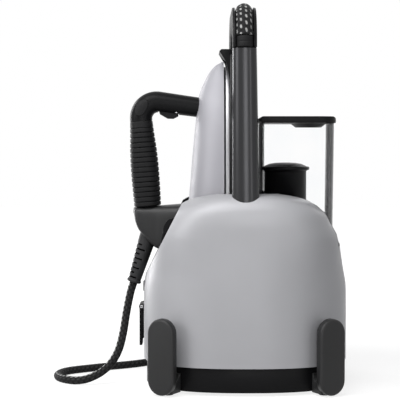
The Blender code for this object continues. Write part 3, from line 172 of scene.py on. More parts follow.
def turned(name, profile, axis, centre, count=48):
    """A profile of (radius, along) turned about an axis through the centre."""
    rings = []
    for radius, along in profile:
        ring = []
        for i in range(count):
            angle = 2 * math.pi * i / count
            ring.append(place(axis, centre[0] + radius * math.cos(angle),
                              centre[1] + radius * math.sin(angle), along))
        rings.append(ring)
    return drawn(name, rings)


def block(name, x, y, z):
    """A box from its three ranges, as a cutter."""
    alone()
    size = [(b - a) * MM for a, b in (x, y, z)]
    middle = [(a + b) / 2 * MM for a, b in (x, y, z)]
    bpy.ops.mesh.primitive_cube_add(size=1, location=middle, scale=size)
    bpy.context.object.name = name
    bpy.ops.object.transform_apply(location=True, rotation=True, scale=True)
    return bpy.context.object


def carve(piece, tools, operation="DIFFERENCE"):
    """Boolean cuts or joins, applied one after another; the tools are used up."""
    for tool in tools:
        modifier = piece.modifiers.new("carve", "BOOLEAN")
        modifier.operation = operation
        modifier.solver = "EXACT"
        modifier.object = tool
        alone(piece)
        bpy.ops.object.modifier_apply(modifier=modifier.name)
        bpy.data.objects.remove(tool)
    return piece


def bevelled(piece, width, steps=3, angle=40):
    """Rounds the sharp edges, applied."""
    modifier = piece.modifiers.new("rounding", "BEVEL")
    modifier.width = width * MM
    modifier.segments = steps
    modifier.limit_method = "ANGLE"
    modifier.angle_limit = math.radians(angle)
    modifier.miter_outer = "MITER_ARC"
    alone(piece)
    bpy.ops.object.modifier_apply(modifier=modifier.name)
    return piece


def cleaned(piece, flat=0.6):
    """Merges doubled points and joins faces that lie in one plane."""
    alone(piece)
    bpy.ops.object.mode_set(mode="EDIT")
    bpy.ops.mesh.select_all(action="SELECT")
    bpy.ops.mesh.remove_doubles(threshold=0.02 * MM)
    bpy.ops.mesh.dissolve_limited(angle_limit=math.radians(flat))
    bpy.ops.object.mode_set(mode="OBJECT")
    return piece


def finished(piece, look, body, nodes=(), angle=35):
    """Smooth shading, the material, the body it rides on and the nodes that it stands for."""
    alone(piece)
    bpy.ops.object.shade_smooth_by_angle(angle=math.radians(angle))
    piece.data.materials.clear()
    piece.data.materials.append(look)
    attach(piece, body)
    if nodes:
        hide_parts(*nodes)
    return piece


def rounded_copy(node, look, body, width, steps=2):
    """A copy of a node's own shape with its edges rounded, which stands for it."""
    piece = bpy.data.objects.new(node + "_finished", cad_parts[node].data.copy())
    bpy.context.collection.objects.link(piece)
    cleaned(piece)
    if width:
        bevelled(piece, width, steps)
    return finished(piece, look, body, [node])


def oval(cx, cy, half_x, half_y, power, count):
    """A superellipse; a power of 2 is an ellipse and a higher one is squarer."""
    points = []
    for i in range(count):
        angle = 2 * math.pi * i / count
        c, s = math.cos(angle), math.sin(angle)
        points.append((cx + half_x * math.copysign(abs(c) ** (2 / power), c),
                       cy + half_y * math.copysign(abs(s) ** (2 / power), s)))
    return points


def rounded(x0, x1, y0, y1, radius, steps=8):
    """A rectangle with round corners."""
    corners = ((x1 - radius, y1 - radius, 0), (x0 + radius, y1 - radius, 90),
               (x0 + radius, y0 + radius, 180), (x1 - radius, y0 + radius, 270))
    return [(cx + radius * math.cos(math.radians(start + 90 * i / steps)),
             cy + radius * math.sin(math.radians(start + 90 * i / steps)))
            for cx, cy, start in corners for i in range(steps + 1)]


def spot(a, b, c, d, t):
    """A point between b and c on a curve that passes a, b, c and d at an even pace."""
    span = max((c - b).length, 1e-6)
    out = (c - a) * (span / max((c - a).length, 1e-6))
    back = (d - b) * (span / max((d - b).length, 1e-6))
    return (b * (2 * t ** 3 - 3 * t ** 2 + 1) + out * (t ** 3 - 2 * t ** 2 + t)
            + c * (3 * t ** 2 - 2 * t ** 3) + back * (t ** 3 - t ** 2))


def eased(rows, steps):
    """Rows of numbers with further rows on a smooth curve between them."""
    rows = [Vector(row) for row in rows]
    fine = []
    for i in range(len(rows) - 1):
        a, d = rows[max(i - 1, 0)], rows[min(i + 2, len(rows) - 1)]
        fine += [spot(a, rows[i], rows[i + 1], d, k / steps) for k in range(steps)]
    return fine + [rows[-1]]


def even(route, step):
    """Points a step apart along a line of points."""
    total = sum((q - p).length for p, q in zip(route, route[1:]))
    count = max(2, round(total / step))
    points, walked, i = [route[0]], 0.0, 0
    for k in range(1, count):
        want = total * k / count
        while walked + (route[i + 1] - route[i]).length < want:
            walked += (route[i + 1] - route[i]).length
            i += 1
        share = (want - walked) / (route[i + 1] - route[i]).length
        points.append(route[i].lerp(route[i + 1], share))
    return points + [route[-1]]


def bent(start, corner, end, radius, steps):
    """A line from start to end whose corner is an arc of the given radius, in two coordinates."""
    start, corner, end = Vector(start), Vector(corner), Vector(end)
    go, leave = (corner - start).normalized(), (end - corner).normalized()
    turn = go.angle(leave)
    first = corner - go * radius * math.tan(turn / 2)
    side = (leave - go * go.dot(leave)).normalized()
    centre = first + side * radius
    points = [start]
    for i in range(steps + 1):
        angle = turn * i / steps
        points.append(centre - side * radius * math.cos(angle) + go * radius * math.sin(angle))
    return points + [end]


# ---------------------------------------------------------------- materials

def fresh(name):
    """An empty material with its Principled shader."""
    look = bpy.data.materials.new(name)
    look.use_nodes = True
    nodes, links = look.node_tree.nodes, look.node_tree.links
    return look, nodes, links, nodes["Principled BSDF"]


def noise(nodes, links, scale, detail, stretch=(1, 1, 1)):
    """Noise on the piece's own coordinates, optionally stretched."""
    own_place = nodes.new("ShaderNodeTexCoord")
    turn = nodes.new("ShaderNodeMapping")
    turn.inputs["Scale"].default_value = stretch
    links.new(own_place.outputs["Object"], turn.inputs["Vector"])
    made = nodes.new("ShaderNodeTexNoise")
    made.inputs["Scale"].default_value = scale
    made.inputs["Detail"].default_value = detail
    links.new(turn.outputs["Vector"], made.inputs["Vector"])
    return made.outputs["Fac"]


def ranged(nodes, links, source, low, high, start=0.3, end=0.7):
    """A value moved from one range to another."""
    made = nodes.new("ShaderNodeMapRange")
    made.inputs["From Min"].default_value = start
    made.inputs["From Max"].default_value = end
    made.inputs["To Min"].default_value = low
    made.inputs["To Max"].default_value = high
    links.new(source, made.inputs["Value"])
    return made.outputs["Result"]


def computed(nodes, links, operation, *values):
    """The result of one mathematical operation on numbers and sockets."""
    made = nodes.new("ShaderNodeMath")
    made.operation = operation
    for socket, value in zip(made.inputs, values):
        if isinstance(value, (int, float)):
            socket.default_value = value
        else:
            links.new(value, socket)
    return made.outputs["Value"]


def blended(nodes, links, factor, one, two):
    """A colour between two, which are colours or sockets."""
    made = nodes.new("ShaderNodeMix")
    made.data_type = "RGBA"
    links.new(factor, made.inputs["Factor"])
    for socket, value in ((made.inputs[6], one), (made.inputs[7], two)):
        if isinstance(value, tuple):
            socket.default_value = (*value, 1)
        else:
            links.new(value, socket)
    return made.outputs[2]


def bumped(nodes, links, shader, height, strength, distance):
    """A bump from a height, in millimetres of depth."""
    made = nodes.new("ShaderNodeBump")
    made.inputs["Strength"].default_value = strength
    made.inputs["Distance"].default_value = distance * MM
    links.new(height, made.inputs["Height"])
    links.new(made.outputs["Normal"], shader.inputs["Normal"])


def moulded(name, colour, rough, grain, depth, metal=0.0, worn=0.12, specular=0.5):
    """Moulded or painted plastic: fine grain, drifting tone and roughness, edges rubbed a little lighter."""
    look, nodes, links, shader = fresh(name)
    shader.inputs["Metallic"].default_value = metal
    shader.inputs["Specular IOR Level"].default_value = specular
    drift = ranged(nodes, links, noise(nodes, links, 14, 4), 0, 1)
    darker = tuple(c * 0.93 for c in colour)
    tone = blended(nodes, links, drift, darker, colour)
    edge = nodes.new("ShaderNodeNewGeometry")
    rubbed = ranged(nodes, links, edge.outputs["Pointiness"], 0, worn, 0.52, 0.6)
    lighter = tuple(min(1, c * 1.5 + 0.04) for c in colour)
    links.new(blended(nodes, links, rubbed, tone, lighter), shader.inputs["Base Color"])
    smear = noise(nodes, links, 55, 5)
    links.new(ranged(nodes, links, smear, rough * 0.9, rough * 1.1), shader.inputs["Roughness"])
    bumped(nodes, links, shader, noise(nodes, links, grain, 2), 0.5, depth)
    return look


def brushed(name, colour, rough, stretch):
    """Metal with fine brush lines along one direction."""
    look, nodes, links, shader = fresh(name)
    shader.inputs["Metallic"].default_value = 1.0
    lines = noise(nodes, links, 900, 2, stretch)
    drift = noise(nodes, links, 20, 3)
    darker = tuple(c * 0.86 for c in colour)
    links.new(blended(nodes, links, ranged(nodes, links, drift, 0, 1), darker, colour),
              shader.inputs["Base Color"])
    links.new(ranged(nodes, links, lines, rough * 0.9, rough * 1.12), shader.inputs["Roughness"])
    bumped(nodes, links, shader, lines, 0.25, 0.006)
    return look


LOOKS = {
    "shell_grey": moulded("silver_grey_shell", (0.405, 0.405, 0.423), 0.42, 2600, 0.01, metal=0.1,
                          specular=0.35),
    "cover_grey": moulded("pearl_grey_cover", (0.33, 0.326, 0.352), 0.48, 2600, 0.01, metal=0.1,
                          specular=0.35),
    "black_plastic": moulded("satin_black_plastic", (0.0045, 0.0045, 0.005), 0.4, 1900, 0.03, worn=0.05,
                             specular=0.09),
    "satin_foot": moulded("satin_foot_black", (0.013, 0.013, 0.0135), 0.46, 1900, 0.03, worn=0.06,
                          specular=0.3),
    "column_dark": moulded("graphite_column", (0.034, 0.034, 0.036), 0.24, 2200, 0.001, metal=0.7, worn=0.1,
                           specular=0.2),
    "black_rubber": moulded("soft_black_rubber", (0.007, 0.007, 0.0075), 0.6, 1500, 0.05, worn=0.04,
                            specular=0.15),
    "boot_rubber": moulded("matt_boot_rubber", (0.022, 0.022, 0.023), 0.6, 1500, 0.05, worn=0.05,
                           specular=0.25),
    # painted shade: a near-black matte colour laid on the boot's slot faces for the shade inside the slots
    "slot_painted_shade": moulded("boot_slot_painted_shade", (0.0015, 0.0015, 0.0015), 0.9, 1500, 0.02, worn=0.0,
                          specular=0.0),
    "aluminium": brushed("brushed_aluminium", (0.3, 0.3, 0.31), 0.38, (1, 1, 0.02)),
    "steel": brushed("bright_steel", (0.6, 0.6, 0.62), 0.24, (1, 1, 0.05)),
    "brass": brushed("yellow_brass", (0.72, 0.5, 0.2), 0.3, (1, 0.05, 1)),
    "board": moulded("green_board", (0.02, 0.16, 0.07), 0.45, 900, 0.03),
    "silicone": moulded("milky_silicone", (0.72, 0.72, 0.7), 0.45, 700, 0.02),
}


def clear_look():
    """Clear moulded plastic: see-through face on, and opaque along its rounded edges, where painted shade
    gives way to a lighter painted reflection towards the outline.
    """
    look, nodes, links, shader = fresh("clear_tank_plastic")
    shader.inputs["Roughness"].default_value = 0.12
    shader.inputs["Specular IOR Level"].default_value = 0.4
    through = nodes.new("ShaderNodeBsdfTransparent")
    tint = blended(nodes, links, ranged(nodes, links, noise(nodes, links, 30, 3), 0, 1),
                   (0.988, 0.992, 0.995), (1.0, 1.0, 1.0))
    links.new(tint, through.inputs["Color"])
    weight = nodes.new("ShaderNodeLayerWeight")
    weight.inputs["Blend"].default_value = 0.5
    # painted shade and painted reflection: the edge band's colour runs from near black to grey as the surface
    # turns away from view
    painted_edge_tone = ranged(nodes, links, weight.outputs["Facing"], 0, 1, 0.46, 0.75)
    links.new(blended(nodes, links, painted_edge_tone, (0.012, 0.012, 0.013), (0.15, 0.15, 0.16)),
              shader.inputs["Base Color"])
    # the edge band turns opaque, so its painted shade and painted reflection replace what would be seen
    # through it
    edge = ranged(nodes, links, weight.outputs["Facing"], 0.004, 0.85, 0.42, 0.5)
    mix = nodes.new("ShaderNodeMixShader")
    links.new(edge, mix.inputs["Fac"])
    links.new(through.outputs["BSDF"], mix.inputs[1])
    links.new(shader.outputs["BSDF"], mix.inputs[2])
    links.new(mix.outputs["Shader"], nodes["Material Output"].inputs["Surface"])
    return look


LOOKS["clear_plastic"] = clear_look()


def braid_look(name, radius, around, pitch, fleck, column=None):
    """Braided textile: dark yarn crossed both ways, with a pale thread that surfaces as a short slanted
    dash in every mesh, or in one column of meshes only. The piece's UV runs once around and in metres
    along; fleck is the half width and half length of a dash in millimetres."""
    look, nodes, links, shader = fresh(name)
    shader.inputs["Roughness"].default_value = 0.85
    shader.inputs["Specular IOR Level"].default_value = 0.2
    shader.inputs["Sheen Weight"].default_value = 0.03
    shader.inputs["Sheen Roughness"].default_value = 0.5
    uv = nodes.new("ShaderNodeUVMap")
    uv.uv_map = "along"
    parts = nodes.new("ShaderNodeSeparateXYZ")
    links.new(uv.outputs["UV"], parts.inputs["Vector"])

    def sum_of(operation, *values):
        return computed(nodes, links, operation, *values)

    turn = sum_of("MULTIPLY", parts.outputs["X"], around)
    run = sum_of("MULTIPLY", parts.outputs["Y"], 1 / (pitch * MM))
    one = sum_of("ADD", turn, run)
    two = sum_of("SUBTRACT", turn, run)
    wave_one = sum_of("ABSOLUTE", sum_of("SINE", sum_of("MULTIPLY", one, math.pi)))
    wave_two = sum_of("ABSOLUTE", sum_of("SINE", sum_of("MULTIPLY", two, math.pi)))
    yarn = sum_of("MAXIMUM", wave_one, wave_two)
    cell = nodes.new("ShaderNodeCombineXYZ")
    first, second = sum_of("FLOOR", one), sum_of("FLOOR", two)
    links.new(first, cell.inputs["X"])
    links.new(second, cell.inputs["Y"])
    pick = nodes.new("ShaderNodeTexWhiteNoise")
    links.new(cell.outputs["Vector"], pick.inputs["Vector"])
    a = sum_of("SUBTRACT", sum_of("SUBTRACT", one, first), 0.5)
    b = sum_of("SUBTRACT", sum_of("SUBTRACT", two, second), 0.5)
    across = sum_of("MULTIPLY", sum_of("ADD", a, b), math.pi * radius / around)
    along = sum_of("MULTIPLY", sum_of("SUBTRACT", a, b), pitch / 2)
    across = sum_of("ADD", across, sum_of("MULTIPLY", along, 0.2))
    off_across = sum_of("POWER", sum_of("ABSOLUTE", sum_of("DIVIDE", across, fleck[0])), 2.5)
    off_along = sum_of("POWER", sum_of("ABSOLUTE", sum_of("DIVIDE", along, fleck[1])), 2.5)
    inside = ranged(nodes, links, sum_of("ADD", off_across, off_along), 1, 0, 0.7, 1.25)
    shown = sum_of("MULTIPLY", inside, ranged(nodes, links, pick.outputs["Value"], 0.65, 1, 0, 1))
    if column is not None:
        counted = sum_of("FLOORED_MODULO", sum_of("ADD", first, second), 2 * around)
        apart = sum_of("ABSOLUTE", sum_of("SUBTRACT", counted, column))
        faint = sum_of("MULTIPLY", shown, 0.06)
        shown = sum_of("MAXIMUM", faint, sum_of("MULTIPLY", shown, sum_of("LESS_THAN", apart, 0.5)))
    fuzz = noise(nodes, links, 2600, 2)
    dark = blended(nodes, links, yarn, (0.0025, 0.0025, 0.0025), (0.01, 0.01, 0.0105))
    thread = blended(nodes, links, ranged(nodes, links, fuzz, 0, 1, 0.35, 0.65), (0.2, 0.2, 0.2),
                     (0.5, 0.5, 0.49))
    links.new(blended(nodes, links, shown, dark, thread), shader.inputs["Base Color"])
    bumped(nodes, links, shader, sum_of("ADD", yarn, sum_of("MULTIPLY", fuzz, 0.3)), 0.7, 0.2)
    return look


LOOKS["textile"] = braid_look("black_braid_with_pale_thread", HOSE_RADIUS, *HOSE_BRAID, (1.0, 2.0), 7)
ROPE_LOOK = braid_look("thick_rope_braid", ROPE_RADIUS, *ROPE_BRAID, (1.25, 2.0))


# ---------------------------------------------------------------- camera, floor and light

def make_camera():
    """Square on to the object's side, from a little above its middle."""
    camera = bpy.data.cameras.new("camera")
    camera.lens = CAMERA_LENS
    camera.sensor_width = 36
    held = bpy.data.objects.new("camera", camera)
    held.location = CAMERA_AT
    held.rotation_euler = (math.radians(90 - CAMERA_DOWN), 0, 0)
    bpy.context.collection.objects.link(held)
    bpy.context.scene.camera = held


def seen_share(nodes, links):
    """1 for what the camera sees, directly, mirrored or through something clear, and 0 for plain light."""
    rays = nodes.new("ShaderNodeLightPath")
    total = rays.outputs["Is Camera Ray"]
    for kind in ("Is Glossy Ray", "Is Transmission Ray"):
        total = computed(nodes, links, "MAXIMUM", total, rays.outputs[kind])
    return total


def make_floor():
    """A pale floor that keeps the object's soft shadow and turns white away from it."""
    alone()
    bpy.ops.mesh.primitive_grid_add(x_subdivisions=8, y_subdivisions=8, size=9)
    floor = bpy.context.object
    floor.name = "floor"
    look, nodes, links, shader = fresh("pale_floor")
    shader.inputs["Roughness"].default_value = 0.9
    shader.inputs["Specular IOR Level"].default_value = 0.0
    tone = blended(nodes, links, noise(nodes, links, 3, 2), (0.29, 0.29, 0.29), (0.31, 0.31, 0.31))
    links.new(tone, shader.inputs["Base Color"])
    own_place = nodes.new("ShaderNodeTexCoord")
    away = nodes.new("ShaderNodeVectorMath")
    away.operation = "LENGTH"
    links.new(own_place.outputs["Object"], away.inputs[0])
    far = ranged(nodes, links, away.outputs["Value"], 0.0, 1.0, 0.28, 0.75)
    rising = computed(nodes, links, "MULTIPLY_ADD", far, 1.0 - FLOOR_GLOW, FLOOR_GLOW)
    strength = computed(nodes, links, "MULTIPLY", rising, seen_share(nodes, links))
    glow = nodes.new("ShaderNodeEmission")
    links.new(strength, glow.inputs["Strength"])
    both = nodes.new("ShaderNodeAddShader")
    links.new(shader.outputs["BSDF"], both.inputs[0])
    links.new(glow.outputs["Emission"], both.inputs[1])
    links.new(both.outputs["Shader"], nodes["Material Output"].inputs["Surface"])
    floor.data.materials.append(look)


def make_world():
    """A weak even light on the object, under a world that is seen as white."""
    world = bpy.data.worlds.new("studio")
    bpy.context.scene.world = world
    world.use_nodes = True
    nodes, links = world.node_tree.nodes, world.node_tree.links
    back = nodes["Background"]
    back.inputs["Color"].default_value = (0.9, 0.92, 0.95, 1)
    back.inputs["Strength"].default_value = 0.17
    white = nodes.new("ShaderNodeBackground")
    white.inputs["Color"].default_value = (1, 1, 1, 1)
    white.inputs["Strength"].default_value = 1.0
    both = nodes.new("ShaderNodeMixShader")
    links.new(seen_share(nodes, links), both.inputs["Fac"])
    links.new(back.outputs["Background"], both.inputs[1])
    links.new(white.outputs["Background"], both.inputs[2])
    links.new(both.outputs["Shader"], nodes["World Output"].inputs["Surface"])


def lamp(name, place_at, aim, size, power):
    """A soft rectangular lamp aimed at a point."""
    light = bpy.data.lights.new(name, "AREA")
    light.shape = "RECTANGLE"
    light.size, light.size_y = size
    light.energy = power
    held = bpy.data.objects.new(name, light)
    held.location = place_at
    held.rotation_euler = (Vector(aim) - Vector(place_at)).to_track_quat("-Z", "Y").to_euler()
    bpy.context.collection.objects.link(held)


def make_lights():
    """A large soft lamp on the left, one above, a front panel, a strip at each side and a weak rear one."""
    lamp("left_softbox", (-1.65, -1.0, 0.95), (0, 0, 0.25), (1.0, 1.3), 17)
    lamp("top_softbox", (-0.3, -0.5, 0.95), (0, 0, 0.22), (0.7, 0.5), 7.5)
    lamp("front_panel", (0.12, -1.8, 0.45), (0.03, 0, 0.25), (0.4, 0.8), 5)
    lamp("right_strip", (0.95, -1.45, 0.5), (0.05, 0, 0.22), (0.14, 1.1), 2.6)
    lamp("left_rim_strip", (-1.1, 1.0, 0.5), (-0.08, 0, 0.25), (0.35, 1.2), 13)
    lamp("rear_fill", (0.7, 1.7, 1.1), (0, 0, 0.2), (1.2, 1.2), 4)


# ---------------------------------------------------------------- base: shells, pan, feet

def dome_rings(inset, low, count=112):
    """Rings of the dome pushed inward by an inset, on a smooth curve through its profile."""
    rows = eased(SHELL_PROFILE, 4)
    rings = []
    for i, (height, in_x, in_y, power) in enumerate(rows):
        below, above = rows[max(i - 1, 0)], rows[min(i + 1, len(rows) - 1)]
        lean = Vector((above[0] - below[0], above[1] - below[1])).normalized()
        z = low if i == 0 else height - inset * lean.y
        ring = oval(SHELL_X, 0, SHELL_HALF_X - in_x - inset * lean.x, SHELL_HALF_Y - in_y - inset, power,
                    count)
        rings.append([(x, y, z) for x, y in ring])
    return rings


def slant_x(z, shift=0.0):
    """X of the slanted cut at a height; a positive shift moves it into the shell."""
    return SLANT_POINT[0] + (z - SLANT_POINT[1]) * SLANT_LEAN[0] / SLANT_LEAN[1] + shift / SLANT_LEAN[1]


def slant_cutter():
    """Everything on the iron's side of the slanted cut."""
    low, high, far = 100.0, 260.0, -180.0
    outline = [(slant_x(low), low), (slant_x(high), high), (far, high), (far, low)]
    return slab("slant_tool", outline, "Y", -130, 130)


def column_rings(grow, y, low, high, count=56):
    """Rings of a column, grown by a clearance."""
    rings = []
    for z in (low, high):
        share = (z - COLUMN_LOW) / (COLUMN_TOP - COLUMN_LOW)
        middle = COLUMN_X[0] + share * (COLUMN_X[1] - COLUMN_X[0])
        half = COLUMN_HALF_X[0] + share * (COLUMN_HALF_X[1] - COLUMN_HALF_X[0])
        rings.append([(x, across, z)
                      for x, across in oval(middle, y, half + grow, COLUMN_HALF_Y + grow, 2.3, count)])
    return rings


def make_shells():
    """The silver-grey dome: one skin with its wall, its bays cut out, then parted along the middle."""
    dome = drawn("dome", dome_rings(0, SHELL_LOW))
    carve(dome, [drawn("dome_inside", dome_rings(SHELL_WALL, SHELL_LOW - 5)[:-1])])
    left = SHELL_X - SHELL_HALF_X
    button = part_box("power_button")
    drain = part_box("drain_plug")
    carve(dome, [
        drawn("hole_front", column_rings(GAP, -COLUMN_Y, COLUMN_LOW, 240)),
        drawn("hole_rear", column_rings(GAP, COLUMN_Y, COLUMN_LOW, 240)),
        block("iron_bay", (-180, REST_X + REST_THICK + GAP), (-IRON_BAY_Y, IRON_BAY_Y),
              (IRON_BAY_FLOOR - GAP, 260)),
        slant_cutter(),
        block("tank_bay_tool", (TANK_BAY_X, 180), (-TANK_BAY_Y, TANK_BAY_Y), (TANK_BAY_FLOOR - GAP, 260)),
        slab("button_tool", rounded(button[0][1] / MM - GAP, button[1][1] / MM + GAP, button[0][2] / MM - GAP,
                                    button[1][2] / MM + GAP, 5.5), "X", left - 13, left + 12),
        turned("drain_tool", [(9.3, left - 13), (9.3, left + 12)], "X",
               ((drain[0][1] + drain[1][1]) / 2 / MM, (drain[0][2] + drain[1][2]) / 2 / MM))])
    other = dome.copy()
    other.data = dome.data.copy()
    bpy.context.collection.objects.link(other)
    for piece, name, side in ((dome, "front_shell_skin", -1), (other, "rear_shell_skin", 1)):
        piece.name = name
        alone(piece)
        bpy.ops.object.mode_set(mode="EDIT")
        bpy.ops.mesh.select_all(action="SELECT")
        bpy.ops.mesh.bisect(plane_co=(0, side * GAP / 2 * MM, 0), plane_no=(0, side, 0), use_fill=True,
                            clear_inner=True)
        bpy.ops.object.mode_set(mode="OBJECT")
    for name, ear in zip(("flap_ear_front", "flap_ear_rear"), flap_ears()):
        ear.name = name
        finished(ear, LOOKS["black_plastic"], "base", ())
    finished(dome, LOOKS["shell_grey"], "base", ["front_shell"], 28)
    finished(other, LOOKS["shell_grey"], "base", ["rear_shell"], 28)


def flap_ears():
    """The two ears beside the flap that hold its pin."""
    low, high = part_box("flap_pin")
    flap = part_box("drain_flap")
    pin_x = (low[0] + high[0]) / 2 / MM
    pin_z = (low[2] + high[2]) / 2 / MM
    made = []
    for a, b in ((low[1] / MM, flap[0][1] / MM - GAP), (flap[1][1] / MM + GAP, high[1] / MM)):
        outline = [(pin_x + 5, pin_z - 5.5), (pin_x + 5, pin_z + 4)]
        outline += [(pin_x + 3.2 * math.cos(math.radians(t)), pin_z + 3.2 * math.sin(math.radians(t)))
                    for t in range(90, 226, 15)]
        ear = slab("ear", outline, "Y", a, b)
        carve(ear, [turned("ear_bore", [(2.2, a - 3), (2.2, b + 3)], "Y", (pin_x, pin_z), 24)])
        made.append(bevelled(ear, 0.3, 2))
    return made


def foot_point(side_x, side_y, across, inward, z):
    """A point in a foot's own directions: across its plate, and inward from its middle."""
    turn = math.radians(FOOT_TURN)
    x = FOOT_OFF_X + across * math.cos(turn) - inward * math.sin(turn)
    y = FOOT_OFF_Y - across * math.sin(turn) - inward * math.cos(turn)
    return (FOOT_X + side_x * x, side_y * y, z)


def foot_outline(grow, steps=20):
    """The upright capsule of a foot plate, as (across, height)."""
    half = FOOT_WIDTH / 2 + grow
    points = []
    for middle, start in ((FOOT_HIGH - FOOT_WIDTH / 2, 0), (FOOT_LOW + FOOT_WIDTH / 2, 180)):
        for i in range(steps + 1):
            angle = math.radians(start + 180 * i / steps)
            points.append((half * math.cos(angle), middle + half * math.sin(angle)))
    return points


def make_feet():
    """Four corner feet: rounded plates that stand off the body, each with its hooked arm."""
    half, fillet = FOOT_THICK / 2, 3.0
    rows = []
    for i in range(7):
        angle = math.radians(90 * i / 6)
        rows.append((-half + fillet * (1 - math.sin(angle)), -fillet * (1 - math.cos(angle))))
    rows = sorted(rows + [(half - 1.4, 0), (half - 0.5, -0.35), (half, -1.2)])
    for end, side_x in (("left", -1), ("right", 1)):
        for face, side_y in (("front", -1), ("rear", 1)):
            node = f"foot_{face}_{end}"
            rings = [[foot_point(side_x, side_y, a, inward, z) for a, z in foot_outline(grow)]
                     for inward, grow in rows]
            foot = drawn(node + "_plate", rings)
            arm = [(3, 2.6), (30, 2.6), (30, 24.6), (18, 24.6)]
            arm += [(11.5 + 6.5 * math.cos(math.radians(a)), 24.6 - 9 * math.sin(math.radians(a)))
                    for a in range(0, 181, 15)]
            arm += [(3, 24.6)]
            sides = [[foot_point(side_x, side_y, a, inward, z) for inward, z in arm] for a in (-12, 12)]
            carve(foot, [bevelled(drawn("arm", sides), 0.8, 2)], "UNION")
            carve(foot, [drawn("pan_tool", [[(x, y, z) for x, y in oval(SHELL_X, 0, PAN_HALF_X + GAP,
                                             PAN_HALF_Y + GAP, 2.5, 96)] for z in (-5, 60)])])
            finished(foot, LOOKS["satin_foot"], "base", [node], 32)
            rounded_copy(f"pad_{face}_{end}", LOOKS["black_rubber"], "base", 0.4)


def make_pan():
    """The black tray with a rounded lower edge, and the screws that close it from below."""
    rounded_copy("base_pan", LOOKS["black_plastic"], "base", 0.6)
    x, y = SHELL_X + SCREW_X, SCREW_Y
    head = [(0.4, 4.4), (1.3, 4.4), (1.5, 4.3), (3.4, 4.3), (3.9, 4.7), (3.9, 5.4)]
    first = turned("pan_screw", head, "Z", (x, y), 32)
    carve(first, [block("slot_a", (x - 2, x + 2), (y - 0.4, y + 0.4), (3, 5)),
                  block("slot_b", (x - 0.4, x + 0.4), (y - 2, y + 2), (3, 5))])
    for i, (sx, sy) in enumerate(((1, 1), (-1, 1), (1, -1), (-1, -1))):
        screw = first
        if i:
            screw = first.copy()
            screw.data = first.data.copy()
            bpy.context.collection.objects.link(screw)
            for vertex in screw.data.vertices:
                vertex.co.x += (sx - 1) * SCREW_X * MM
                vertex.co.y += (sy - 1) * SCREW_Y * MM
        screw.name = f"pan_screw_{i + 1}"
        finished(screw, LOOKS["steel"], "base", ())


# ---------------------------------------------------------------- bays, columns, bow and rest

def make_bays():
    """The liners that the iron and the tank stand in, and the two cheeks beside the iron's heel."""
    rounded_copy("iron_dock", LOOKS["black_plastic"], "base", 0.35)
    rounded_copy("tank_bay", LOOKS["black_plastic"], "base", 0.35)
    edge = [tuple(p) for p in eased(CHEEK_EDGE, 5)]
    inner = [(slant_x(z, 0.4), z) for z in (edge[-1][1], 180, edge[0][1])]
    for name, side in (("dock_cheek_front", -1), ("dock_cheek_rear", 1)):
        cheek = slab(name, edge + inner, "Y", *sorted(side * y for y in CHEEK_Y))
        bevelled(cheek, 0.7, 3, 50)
        finished(cheek, LOOKS["black_plastic"], "base", ())


def bow_path(out, steps=16):
    """The arch from the front column to the rear one as (Y, Z), pushed outward by a distance."""
    low = COLUMN_TOP + GAP
    half = bent((-COLUMN_Y - out, low), (-COLUMN_Y - out, BOW_BAR_Z + out), (0, BOW_BAR_Z + out),
                BOW_CORNER + out, steps)
    return half + [Vector((-p.x, p.y)) for p in reversed(half[:-1])]


def swept(name, section, path):
    """A section of (X, outward) carried along a path of (Y, Z)."""
    rings = []
    for i, point in enumerate(path):
        ahead = path[min(i + 1, len(path) - 1)] - path[max(i - 1, 0)]
        out = Vector((-ahead.y, ahead.x)).normalized()
        rings.append([(x, point.x + out.x * v, point.y + out.y * v) for x, v in section])
    return drawn(name, rings)


def make_columns():
    """Two dark satin columns with a small chamfer at the top."""
    for name, side in (("column_front", -1), ("column_rear", 1)):
        low, high = column_rings(0, side * COLUMN_Y, COLUMN_LOW, COLUMN_TOP - 0.8)
        top = column_rings(-0.7, side * COLUMN_Y, COLUMN_LOW, COLUMN_TOP)[1]
        foot = column_rings(-0.7, side * COLUMN_Y, COLUMN_LOW - 0.6, COLUMN_TOP)[0]
        column = drawn(name + "_tube", [foot, low, high, top])
        finished(column, LOOKS["column_dark"], "base", [name])


def make_bow():
    """The black bow with a round-bottomed groove, its end plugs and the braided rope in the groove."""
    groove = ROPE_RADIUS + GAP
    middle = COLUMN_X[1]
    arc = [(middle + groove * math.cos(math.pi * i / 20), ROPE_OUT - groove * math.sin(math.pi * i / 20))
           for i in range(21)]
    left, right = middle - BOW_HALF_X, middle + BOW_HALF_X
    corner = 7
    lower_right = [(right - corner + corner * math.sin(math.radians(a)),
                    -BOW_HALF + corner - corner * math.cos(math.radians(a))) for a in range(75, -1, -15)]
    lower_left = [(left + corner - corner * math.sin(math.radians(a)),
                   -BOW_HALF + corner - corner * math.cos(math.radians(a))) for a in range(0, 91, 15)]
    section = ([(right, BOW_HALF - 1.2), (right - 0.35, BOW_HALF - 0.35), (right - 1.2, BOW_HALF),
                (middle + groove + 0.4, BOW_HALF)] + arc
               + [(middle - groove - 0.4, BOW_HALF), (left + 1.2, BOW_HALF), (left + 0.35, BOW_HALF - 0.35),
                  (left, BOW_HALF - 1.2)] + lower_left[::-1] + lower_right[::-1]
               + [(right, -BOW_HALF + corner)])
    bow = swept("bow_channel", section, bow_path(0))
    finished(bow, LOOKS["black_plastic"], "base", ["handle_bow"], 40)
    rope = even(bow_path(ROPE_OUT, 24), 0.8)
    whole = sum((b - a).length for a, b in zip(rope, rope[1:]))
    along = [whole * i / (len(rope) - 1) for i in range(len(rope))]
    for name, low, high in (("bow_plug_front", 0, PLUG_HIGH), ("bow_plug_rear", whole - PLUG_HIGH, whole)):
        plug_path = [p for p, at in zip(rope, along) if low - 0.1 <= at <= high + 0.1]
        make_plug(name, plug_path, middle)
    inner = [p for p, at in zip(rope, along) if PLUG_HIGH + GAP <= at <= whole - PLUG_HIGH - GAP]
    make_rope(inner, middle)


